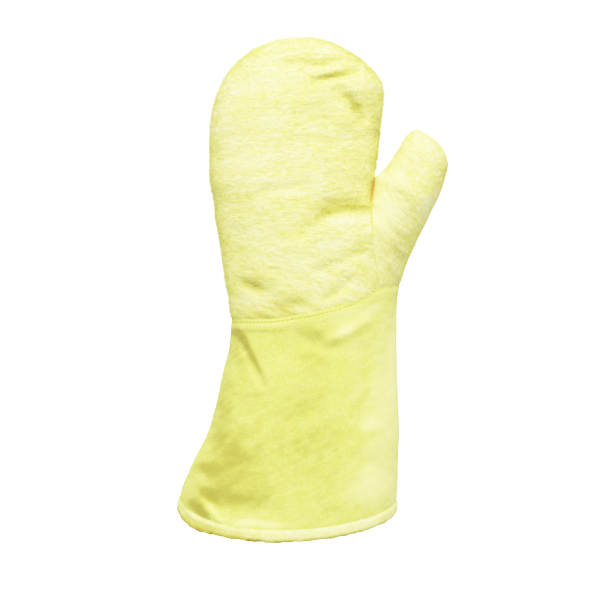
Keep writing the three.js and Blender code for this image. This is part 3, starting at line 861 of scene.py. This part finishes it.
thumb_upper = thumb_half("thumb_back_terry", 1, 9)
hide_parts("thumb_back")
fibres("thumb_back_pile", thumb_upper, {**SHORT_PILE, "count": 11000, "seed": 43})
thumb_lower = thumb_half("thumb_palm_terry", -1, 13)
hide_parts("thumb_palm")
fibres("thumb_palm_pile", thumb_lower, {**SHORT_PILE, "count": 4000, "seed": 44})

# The cuff is a tube of denser felted cloth, flared towards the elbow. Its upper edge is folded in, lapped
# over the hand and sewn down, and the hand's cloth inside pads it as a soft ridge below the stitches.
CUFF_WALL = 2.2
CUFF_EDGE_WALL = 1.0
HEM = {"left": -169.0, "right": -173.0, "dip": 22.0, "power": 0.54, "skew": 0.8, "corner_round": 0.01}
HEM_LIFT = (0.08, 0.35)
BINDING = {"depth": 9.5, "overlap": 5.5, "wall": 2.4, "clearance": 0.4}
CUFF_ROWS = {"body": 144, "edge": 40, "edge_from": 0.9, "ahead": 3, "inner": 24, "roll": 4}
CUFF_TOP, CUFF_UNDER = 252, 132
EDGE_REACH = 1.008
EDGE_BACK = {"thick": (0.0, 0.03), "level": (0.0, 0.02)}
EDGE_ROLL = {"depth": 0.4, "side_depth": 1.0, "width": 1.6, "side_width": 4.0, "flush": (0.0, 55.0)}
STITCH_GROOVE = {
    "place": 2.3, "depth": 0.26, "width": 0.7, "plain": (-40.0, 45.0), "plain_share": 0.3,
    "uneven": (9.0, 400.0, 400.0, 0.35),
}
PULLED_IN = {"x": 29.0, "width": 6.0, "depth": 0.7}
EDGE_RIDGE = {"height": 0.45, "rise": (2.6, 4.4), "fall": (7.0, 11.0)}
HEM_GROOVE = {"depth": 0.3, "width": 1.8, "fade": (0.0, 4.0)}
SIDE_RELIEF = 0.3
FELT = ((2.6, 1.3, 3.0, 0.10), (16.0, 9.0, 12.0, 0.22))
FELT_WAVES = (38.0, 30.0, 60.0, 0.45)
FELT_FADE = {"edge": (0.0, 2.5), "hem": (2.0, 8.0)}
CUFF_GRAIN = math.radians(30)
CUFF_COLOURS = {
    "high": (238, 242, 151), "low": (223, 227, 113), "deep": (192, 187, 88), "pale": (255, 255, 174),
    "warm_shade": (184, 177, 84),
}
CUFF_SCALES = ((380.0, 1300.0, 700.0), (1000.0, 1600.0, 1200.0), (50.0, 90.0, 60.0))
CUFF_BUMP = 0.0003
CUFF_STREAKS = ((13.0, 2.6, 9.0, 0.14), (34.0, 12.0, 25.0, 0.14))
CUFF_MOTTLE = (6.0, 3.6, 6.0, 0.15)
STITCH_SHADE = 0.12
# Painted highlights on the ridge below the stitches and just above the binding, and painted light on the
# flanks of the cuff's right half.
CUFF_PAINTED_LIGHT = {
    "ridge": 0.3, "ridge_fall": (5.5, 8.0), "hem": 0.25, "hem_width": 1.4,
    "side": 0.8, "side_x": (-20.0, 20.0),
}
# Patches of painted shade in the cuff's creases and hollows, and of painted light where a strength is
# negative.
CUFF_LIGHT_AND_SHADE = table(
    "x y length width degrees strength",
    (-54, -38, 10, 3, -58, 0.7),
    (-44, -57, 14, 2.6, -62, 0.75),
    (-60, -36, 8, 4.5, -40, 0.6),
    (-57, -53, 12, 8, -60, 0.5),
    (-38, -33, 26, 3, 0, 0.35),
    (-46, -84, 16, 9, 0, 0.2),
    (5, -35, 16, 6.5, -8, 0.55),
    (32, -46, 14, 10, 0, -0.25),
    (0, -54, 20, 12, 0, 0.2),
    (25, -22, 30, 6, 15, -0.35),
    (23, -34, 13, 4.5, 25, -0.8),
    (47, -16, 11, 6, 20, -0.25),
    (-1, -52, 11, 2.5, 0, 0.2),
    (-48, -83, 10, 2.2, 0, 0.2),
    (43, -70, 24, 6, 90, 0.25),
    (-48, -144, 30, 20, 95, 0.5),
    (-66, -140, 17, 10, 60, 0.2),
    (-62, -122, 16, 7, 60, 0.4),
    (-71, -108, 40, 7, 78, 0.55),
    (-82.5, -141, 8, 5, -12, 1.1),
    (-70, -151, 13, 10, -40, 0.25),
    (-48, -151, 14, 7, -10, 0.2),
    (-62, -130, 12, 7, 0, 0.15),
    (-83, -161, 11, 4.5, -35, 1.0),
    (-66, -163, 20, 8, -5, 0.7),
    (-88, -173, 11, 4.5, -38, 1.2),
    (-79.5, -170, 13, 2.4, -50, -0.75),
    (-86, -150, 14, 5, 60, -0.3),
    (-42, -182, 26, 4, -3, -1.1),
    (35, -116, 7, 6, 0, 0.2),
    (17, -170, 7, 4, 0, 0.3),
    (52, -100, 80, 24, 90, -0.6),
    (66, -58, 32, 6, 90, -0.6),
    (44, -107, 14, 4, 4, -0.5),
    (45, -157, 24, 13, 0, -0.5),
    (0, -114, 50, 36, 90, 0.38),
)
# Warm painted shade along the cuff's narrow creases.
CUFF_CREASE_SHADE = table(
    "x y length width degrees strength",
    (-54, -38, 10, 2.8, -58, 0.5),
    (-44, -57, 14, 2.2, -62, 0.5),
    (-60, -38, 8, 5, -40, 0.25),
    (-82, -161.5, 11, 4, -35, 0.55),
    (-66, -162, 18, 6, -5, 0.2),
    (-88, -173, 10, 4, -38, 0.5),
    (-82.5, -141, 8, 4, -12, 0.4),
)


def hem_dip(t):
    """How far the hem hangs below the line between its corners: a sine raised to a power, eased at both
    ends and leaning to the left."""
    def eased(part):
        return part * part / (part + HEM["corner_round"])

    across = eased(t) / (eased(t) + eased(1 - t))
    return HEM["dip"] * np.maximum(0, np.sin(np.pi * across ** HEM["skew"])) ** HEM["power"]


def cuff_point(v, angle, inset):
    """A point of the cuff. v is 0 at the lower edge and 1 at the wrist seam, and angle goes once round,
    its cosine giving the place across; the upper half has the crown and the lower one lies flat."""
    t = (1 - np.cos(angle)) / 2
    top = np.sin(angle) >= 0
    wrist_left, wrist_right = WRIST["y"][0], WRIST["y"][-1]
    left = body("left", mix(HEM["left"], wrist_left, v)) + inset
    right = body("right", mix(HEM["right"], wrist_right, v)) - inset
    x = mix(left, right, t)
    chord = mix(wrist_left, wrist_right, t)
    level = mix(mix(HEM["left"], HEM["right"], t), chord, v)
    y = level - (1 - v) * hem_dip(t) + v * (wrist_y(x) - chord)
    seam = body("seam", level)
    across = 2 * t - 1
    floor = (BINDING["wall"] + BINDING["clearance"]) * (1 - smooth(*HEM_LIFT, v))
    rise = body("crown", level) - seam
    upper = section_height(across, seam, rise, 1, inset, 0.0, floor)
    upper = upper + loose_folds(x, y, across)
    under = section_height(across, seam, rise, -1, inset, 0.0, floor)
    return np.stack(np.broadcast_arrays(x, y, np.where(top, upper, under)), axis=-1)


def along_rows(points):
    """Distance from the first row along each column."""
    return np.pad(np.cumsum(np.linalg.norm(np.diff(points, axis=0), axis=-1), axis=0), ((1, 0), (0, 0)))


def ring_normals(points):
    """Outward unit normals of a grid whose columns go once round."""
    around = np.roll(points, -1, axis=1) - np.roll(points, 1, axis=1)
    return unit(np.cross(around, -np.gradient(points, axis=0)))


def round_distance(points):
    """Distance along each row, for a grid whose columns go once round."""
    return np.cumsum(np.linalg.norm(points - np.roll(points, 1, axis=1), axis=-1), axis=1)


def cloth_ring(name, points, looks):
    """A closed ring: its first axis goes once round the section, and its second once round the mitten."""
    number = np.arange(points[..., 0].size).reshape(points.shape[:2])
    beside = np.roll(number, -1, axis=1)
    faces = quads(number, beside, np.roll(beside, -1, axis=0), np.roll(number, -1, axis=0))
    return finished(name, cloth_mesh(name, points, faces, looks))


def round_angles(top, under):
    """Angles once round from the left side seam over the upper half and back under the mitten."""
    return np.concatenate([
        np.linspace(0, np.pi, top, endpoint=False), np.linspace(np.pi, 2 * np.pi, under, endpoint=False)])


def upright_share(angle):
    """The root of the angle's sine: 1 on top and underneath, and 0 at the side seams."""
    return np.abs(np.sin(angle)) ** 0.5


def band(value, rise, fall):
    """1 between a rise and a fall, and 0 outside them, with smooth steps."""
    return smooth(*rise, value) * (1 - smooth(*fall, value))


angles = round_angles(CUFF_TOP, CUFF_UNDER)[None]
upright = upright_share(angles)
cuff_v = np.concatenate([
    np.linspace(0, CUFF_ROWS["edge_from"], CUFF_ROWS["body"], endpoint=False),
    np.linspace(CUFF_ROWS["edge_from"], EDGE_REACH, CUFF_ROWS["edge"])])[::-1, None]
cuff_base = cuff_point(cuff_v, angles, 0.0)
cuff_x, cuff_y = cuff_base[..., 0], cuff_base[..., 1]
cuff_normals = ring_normals(cuff_base)
cuff_grain = grain_of(cuff_base, round_distance(cuff_base), CUFF_TOP // 2, CUFF_GRAIN)
from_edge = along_rows(cuff_base)
from_hem = from_edge[-1:] - from_edge
visible_hem = np.maximum(0, from_hem - BINDING["overlap"])

firm = upright * (1 - smooth(*EDGE_ROLL["flush"], cuff_x[0]))
roll_depth = mix(EDGE_ROLL["side_depth"], EDGE_ROLL["depth"], firm)
roll_width = mix(EDGE_ROLL["side_width"], EDGE_ROLL["width"], firm)
seam_pull = mix(1, STITCH_GROOVE["plain_share"], smooth(*STITCH_GROOVE["plain"], cuff_x))
seam_pull = seam_pull * (1 + layered(cuff_base, [STITCH_GROOVE["uneven"]], 26))
pulled_in = PULLED_IN["depth"] * bell(cuff_x - PULLED_IN["x"], PULLED_IN["width"])
on_seam = bell(from_edge - STITCH_GROOVE["place"], STITCH_GROOVE["width"])
relief = -(STITCH_GROOVE["depth"] * seam_pull + pulled_in) * on_seam
relief = relief + seam_pull * EDGE_RIDGE["height"] * band(from_edge, EDGE_RIDGE["rise"], EDGE_RIDGE["fall"])
hem_pull = HEM_GROOVE["depth"] * bell(visible_hem, HEM_GROOVE["width"])
relief = relief - hem_pull * smooth(*HEM_GROOVE["fade"], from_hem)
relief = relief * mix(SIDE_RELIEF, 1, upright) - roll_depth * (1 - smooth(0, roll_width, from_edge))
felt = layered(cuff_grain, FELT, 21) + layered(cuff_base, [FELT_WAVES], 23)
relief = relief + felt * smooth(*FELT_FADE["edge"], from_edge) * smooth(*FELT_FADE["hem"], from_hem)
cuff_face = cuff_base + cuff_normals * relief[..., None]
cuff_face[..., 2] = np.maximum(cuff_face[..., 2], 0)

inner_v = np.linspace(0, EDGE_REACH, CUFF_ROWS["inner"])[:, None]
from_top = EDGE_REACH - inner_v
edge_wall = mix(CUFF_EDGE_WALL, CUFF_WALL, smooth(*EDGE_BACK["thick"], from_top))
inner_dip = roll_depth * (1 - smooth(*EDGE_BACK["level"], from_top))
cuff_inner = cuff_point(inner_v, angles, edge_wall + inner_dip)
turn = np.linspace(0, np.pi, CUFF_ROWS["roll"] + 2)[1:-1, None, None]
edge_ahead = unit(cuff_base[0] - cuff_base[CUFF_ROWS["ahead"]])
edge_roll = mix(cuff_inner[-1], cuff_face[0], (1 - np.cos(turn)) / 2)
edge_roll = edge_roll + edge_ahead * np.sin(turn) * CUFF_EDGE_WALL / 2

# The cuff's tone: painted shade and light from its patches, painted shade in the stitch groove, painted
# highlights on the ridge and above the binding, painted light on its right flanks, and streaks and mottle of
# tone that differs at random.
cuff_tone = patches(cuff_x, cuff_y, CUFF_LIGHT_AND_SHADE) * facing_up(cuff_normals)
cuff_tone = cuff_tone + (STITCH_SHADE * seam_pull + pulled_in) * on_seam
on_ridge = band(from_edge, EDGE_RIDGE["rise"], CUFF_PAINTED_LIGHT["ridge_fall"])
cuff_tone = cuff_tone - CUFF_PAINTED_LIGHT["ridge"] * seam_pull * on_ridge
cuff_tone = cuff_tone + layered(cuff_grain, CUFF_STREAKS, 24) + layered(cuff_base, [CUFF_MOTTLE], 27)
cuff_tone = cuff_tone - CUFF_PAINTED_LIGHT["hem"] * bell(visible_hem, CUFF_PAINTED_LIGHT["hem_width"])
right_flank_light = (1 - np.abs(cuff_normals[..., 2])) ** 2 * smooth(*CUFF_PAINTED_LIGHT["side_x"], cuff_x)
cuff_tone = cuff_tone - CUFF_PAINTED_LIGHT["side"] * right_flank_light
# Warm painted shade in the creases.
crease_shade = patches(cuff_x, cuff_y, CUFF_CREASE_SHADE) * facing_up(cuff_normals)

unseen = np.concatenate([cuff_inner, edge_roll])
plain = np.zeros(unseen.shape[:2])
face_looks = {"grain": cuff_grain * METRE, "tone": cuff_tone, "warm_shade": crease_shade}
unseen_looks = {"grain": unseen * METRE, "tone": plain, "warm_shade": plain}
cuff_looks = {label: np.concatenate([face_looks[label], unseen_looks[label]]) for label in face_looks}
cuff_cloth = cloth_material("cuff cloth", CUFF_COLOURS.values(), CUFF_SCALES, CUFF_BUMP)
cuff = cloth_ring("cuff_cloth", np.concatenate([cuff_face, unseen]), cuff_looks)
dressed(cuff, cuff_cloth)
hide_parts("cuff")
CUFF_FUZZ = {
    "length": (0.6, 1.6), "width": (0.04, 0.08), "rise": (0.1, 0.7), "scatter": 0.8, "tip_paler": 0.3,
    "rim": 3.0, "count": 26000, "seed": 45,
}
cuff_angle = np.full(cuff_tone.shape, -CUFF_GRAIN)
fibres("cuff_fuzz", Cloth(cuff, cuff_face, -1, cuff_angle, face_looks, "cuff_cloth"), CUFF_FUZZ)

# The seam that holds the cuff to the hand is one row of short stitches drawn into the cloth all round the
# wrist.
# Their deep yellow is partly the yarn's own and partly painted shade, for the shadows at the needle holes.
STITCH = {"pitch": 3.5, "length": 2.3, "radius": 0.36, "sink": 0.05, "stations": 7, "corners": 6}
STITCH_PALE = {"strength": 0.9, "x": (-10.0, 45.0)}
STITCH_BUMP = 0.0001
# The stitches' colours are partly the yarn's own and partly painted shade.
STITCH_COLOURS = {
    "high": (212, 204, 104), "low": (190, 178, 76), "deep": (176, 160, 64), "pale": (230, 226, 140),
    "warm_shade": (176, 150, 56),
}


def stitches(name, line, outward, material):
    """Short lengths of yarn along a closed line, each a spindle whose radius is the root of a parabola."""
    steps = np.linalg.norm(np.diff(line, axis=0, append=line[:1]), axis=-1)
    place = np.concatenate([[0], np.cumsum(steps)])
    count = int(place[-1] / STITCH["pitch"])
    middle = (np.arange(count) + 0.5) * place[-1] / count
    share = np.linspace(0, 1, STITCH["stations"])
    at = middle[:, None] + (share - 0.5) * STITCH["length"]

    def on_line(values):
        closed = np.concatenate([values, values[:1]])
        return np.stack([np.interp(at, place, closed[:, k]) for k in range(3)], axis=-1)

    centre, up = on_line(line), unit(on_line(outward))
    forward = unit(np.gradient(centre, axis=1))
    beside = np.cross(forward, up)
    radius = STITCH["radius"] * 2 * np.sqrt(share * (1 - share))
    turn = 2 * np.pi * np.arange(STITCH["corners"]) / STITCH["corners"]
    circle = np.cos(turn)[:, None] * beside[:, :, None] + np.sin(turn)[:, None] * up[:, :, None]
    points = (centre - STITCH["sink"] * up)[:, :, None] + radius[:, None, None] * circle
    points[..., 2] = np.maximum(points[..., 2], 0)
    number = np.arange(points[..., 0].size).reshape(points.shape[:3])
    start, end = number[:, :-1], number[:, 1:]
    faces = quads(start, end, np.roll(end, -1, axis=2), np.roll(start, -1, axis=2))
    tone = -STITCH_PALE["strength"] * smooth(*STITCH_PALE["x"], points[..., 0])
    looks = {"grain": points * METRE, "tone": tone, "warm_shade": 0 * tone}
    dressed(finished(name, cloth_mesh(name, points, faces, looks)), material)


stitch_row = int(np.argmin(np.abs(from_edge.mean(axis=1) - STITCH_GROOVE["place"])))
yarn = cloth_material("seam yarn", STITCH_COLOURS.values(), CUFF_SCALES, STITCH_BUMP)
stitches("wrist_stitches", cuff_face[stitch_row], ring_normals(cuff_face)[stitch_row], yarn)

# The hem binding is a tape of paler cloth folded round the cuff's lower edge and sewn through. It is plump
# between its stitches, thin at the side seams, and uneven along its folded bottom edge. Its colour has warm
# painted shade and painted shade where it turns under at the foot, painted shade at its sides and on its left
# part, and a painted highlight along its top.
HEM_COLUMNS = 520
HEM_SPLINE_STEPS = 4
HEM_SEEN_CORNERS = 9
HEM_STEP_UP = 1 / 13
HEM_FOOT = 4.0
HEM_DROOP = {"x": -93.0, "width": 14.0, "depth": 2.4, "rise": (0.5, 3.5)}
HEM_UNEVEN = ((3.2, 40.0, 40.0, 0.55), (9.0, 40.0, 40.0, 0.55))
HEM_SIDE_SHARE = 0.35
HEM_PLUMP = ((6.0, 4.0, 5.0, 0.30), (2.0, 2.0, 2.0, 0.22))
HEM_PLUMP_RISE = {"inward": (-0.2, -1.2), "depth": (-5.4, -4.4)}
HEM_COLOURS = {
    "high": (252, 253, 192), "low": (242, 242, 150), "deep": (214, 210, 100), "pale": (254, 254, 208),
    "warm_shade": (200, 172, 74),
}
HEM_SCALES = ((420.0, 900.0, 500.0), (900.0, 1300.0, 900.0), (90.0, 160.0, 90.0))
HEM_BUMP = 0.0003
HEM_GRAIN = -0.3
# Warm painted shade where the binding turns under at its foot, strongest on the left.
HEM_FOOT_WARM_SHADE = {
    "rise": (0.6, 3.0), "size": (3.5, 2.5, 3.0), "cloud_rise": (-0.3, 0.4),
    "least": 0.2, "x": -64.0, "width": 34.0,
}
# Painted shade at the binding's foot, at its thin sides and on its left part.
HEM_SHADE = {"foot": 0.7, "foot_rise": (0.3, 3.0), "side": 0.35, "left": 0.45, "left_x": (-20.0, -70.0)}
# A painted highlight along the binding's top.
HEM_TOP_HIGHLIGHT = {"top": 0.3, "rise": (-5.4, -4.6), "fall": (-3.6, -2.0)}
HEM_WEAR = (8.0, 5.0, 8.0, 0.25)
HEM_PUCKERS = table(
    "x width depth", (-14.0, 1.4, 1.1), (-9.5, 1.6, 0.9), (-3.5, 1.2, 1.0), (-0.5, 1.2, 1.1),
    (38.0, 2.0, 0.4), (-52.0, 2.5, 0.5),
)


def binding_section():
    """The binding's closed section as pairs of depth below the cuff's edge and depth inward."""
    overlap, wall, clearance = BINDING["overlap"], BINDING["wall"], BINDING["clearance"]
    inner = CUFF_WALL + wall + clearance
    return np.array([
        (-overlap, -0.1), (-overlap + 0.3, -0.75), (-overlap + 1.2, -1.35), (-overlap + 3.4, -1.75),
        (0.6, -1.7), (HEM_FOOT - 1.4, -1.0), (HEM_FOOT - 0.4, 0.2), (HEM_FOOT, CUFF_WALL / 2 + 0.2),
        (HEM_FOOT - 0.9, inner - wall * 0.55), (HEM_FOOT - 3.0, inner), (-overlap + 3.2, inner),
        (-overlap + 1, inner - wall * 0.3), (-overlap, CUFF_WALL + clearance),
        (clearance, CUFF_WALL + clearance), (clearance, -0.1),
    ])


def rounded_loop(corners, steps):
    """A closed loop through its corners, as cubic pieces whose slopes are half the step between the
    neighbours of each corner."""
    t = (np.arange(steps) / steps)[None, :, None]
    before, start, end, after = (np.roll(corners, k, axis=0)[:, None] for k in (1, 0, -1, -2))
    curve = start + 0.5 * t * (end - before + t * (2 * before - 5 * start + 4 * end - after
                                                   + t * (3 * (start - end) + after - before)))
    return curve.reshape(-1, 2)


def below_hem(depth, inset):
    """Points at a depth below the cuff's lower edge, straight on from its cloth."""
    edge = cuff_point(np.zeros(1), hem_angles, inset)
    above = cuff_point(np.full(1, HEM_STEP_UP), hem_angles, inset)
    return edge + unit(edge - above) * depth


hem_angles = (2 * np.pi * np.arange(HEM_COLUMNS) / HEM_COLUMNS)[None]
hem_section = rounded_loop(binding_section(), HEM_SPLINE_STEPS)
depth, inward = hem_section[:, :1], hem_section[:, 1:]
hem_edge = cuff_point(np.zeros(1), hem_angles, 0.0)
hem_x = hem_edge[..., 0]
hem_grain = np.stack(np.broadcast_arrays(round_distance(hem_edge), depth, inward), axis=-1)
droop = HEM_DROOP["depth"] * bell(hem_x - HEM_DROOP["x"], HEM_DROOP["width"])
deeper = depth + smooth(*HEM_DROOP["rise"], depth) * (layered(hem_grain, HEM_UNEVEN, 34) + droop)
side_thin = mix(HEM_SIDE_SHARE, 1, upright_share(hem_angles))
plump = layered(hem_grain, HEM_PLUMP, 31)
for x, width, pucker in zip(*HEM_PUCKERS.values()):
    plump = plump - pucker * bell(hem_x - x, width)
plump = plump * smooth(*HEM_PLUMP_RISE["inward"], inward) * smooth(*HEM_PLUMP_RISE["depth"], depth)
share = (np.where(inward < 0, inward * side_thin, inward) - plump)[..., None] / CUFF_WALL
hem_points = mix(below_hem(deeper[..., None], 0.0), below_hem(deeper[..., None], CUFF_WALL), share)
hem_points[..., 2] = np.maximum(hem_points[..., 2], 0)
# Warm painted shade where the binding turns under.
foot_warm_shade = smooth(*HEM_FOOT_WARM_SHADE["cloud_rise"], clouds(hem_grain, HEM_FOOT_WARM_SHADE["size"], 33))
foot_warm_shade = smooth(*HEM_FOOT_WARM_SHADE["rise"], depth) * foot_warm_shade
foot_warm_shade = foot_warm_shade * mix(HEM_FOOT_WARM_SHADE["least"], 1.0, bell(hem_x - HEM_FOOT_WARM_SHADE["x"], HEM_FOOT_WARM_SHADE["width"]))
# The binding's tone: painted shade and a painted highlight, and wear of tone that differs at random.
hem_tone = HEM_SHADE["foot"] * smooth(*HEM_SHADE["foot_rise"], depth)
hem_tone = hem_tone - HEM_TOP_HIGHLIGHT["top"] * band(depth, HEM_TOP_HIGHLIGHT["rise"], HEM_TOP_HIGHLIGHT["fall"])
hem_tone = hem_tone + HEM_SHADE["side"] * (1 - side_thin)
hem_tone = hem_tone + HEM_SHADE["left"] * smooth(*HEM_SHADE["left_x"], hem_x)
hem_tone = hem_tone + layered(hem_grain, [HEM_WEAR], 36)
hem_looks = {"grain": hem_grain * METRE, "tone": hem_tone, "warm_shade": foot_warm_shade}
tape = cloth_material("binding cloth", HEM_COLOURS.values(), HEM_SCALES, HEM_BUMP)
hem = dressed(cloth_ring("hem_tape", hem_points, hem_looks), tape)
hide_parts("hem_binding")
HEM_FUZZ = {**CUFF_FUZZ, "length": (0.5, 1.5), "count": 11000, "seed": 46}
seen = slice(0, HEM_SPLINE_STEPS * HEM_SEEN_CORNERS)
seen_looks = {label: values[seen] for label, values in hem_looks.items()}
hem_angle = np.full(foot_warm_shade.shape, HEM_GRAIN)[seen]
fibres("hem_fuzz", Cloth(hem, hem_points[seen], -1, hem_angle, seen_looks, "binding"), HEM_FUZZ)

# The mitten lies on a plain white surface, under one large soft lamp beyond the fingertips and an even
# white light from all round.
FLOOR_SIZE = 6.0
FLOOR_DROP = 0.0003
KEY_LAMP = {"place": (0.0, 1.5, 1.3), "size": 0.9, "power": 29.0}
ROUND_LIGHT = 0.6
floor_mesh = bpy.data.meshes.new("floor")
half = FLOOR_SIZE / 2
floor_corners = [(x * half, y * half, -FLOOR_DROP) for x, y in ((-1, -1), (1, -1), (1, 1), (-1, 1))]
floor_mesh.from_pydata(floor_corners, [], [(0, 1, 2, 3)])
floor = placed("floor", floor_mesh)
floor_paint = Paint("white surface")
floor_paint.fill(floor_paint.shader, {"Base Color": (0.9, 0.9, 0.9, 1), "Roughness": 0.9,
                                      "Emission Color": (1, 1, 1, 1), "Emission Strength": 2.5})
floor_mesh.materials.append(floor_paint.material)
floor.visible_diffuse = False
floor.visible_glossy = False


def lamp(name, place, size, power):
    """A square area lamp that faces the middle of the mitten."""
    data = bpy.data.lights.new(name, "AREA")
    data.size, data.energy = size, power
    made = bpy.data.objects.new(name, data)
    made.location = place
    x, y, z = place
    made.rotation_euler = (math.atan2(math.hypot(x, y), z), 0, math.atan2(y, x) + math.pi / 2)
    bpy.context.scene.collection.objects.link(made)


lamp("key lamp", KEY_LAMP["place"], KEY_LAMP["size"], KEY_LAMP["power"])
world = bpy.data.worlds.new("studio")
world.use_nodes = True
world.node_tree.nodes["Background"].inputs["Color"].default_value = (1, 1, 1, 1)
world.node_tree.nodes["Background"].inputs["Strength"].default_value = ROUND_LIGHT
bpy.context.scene.world = world
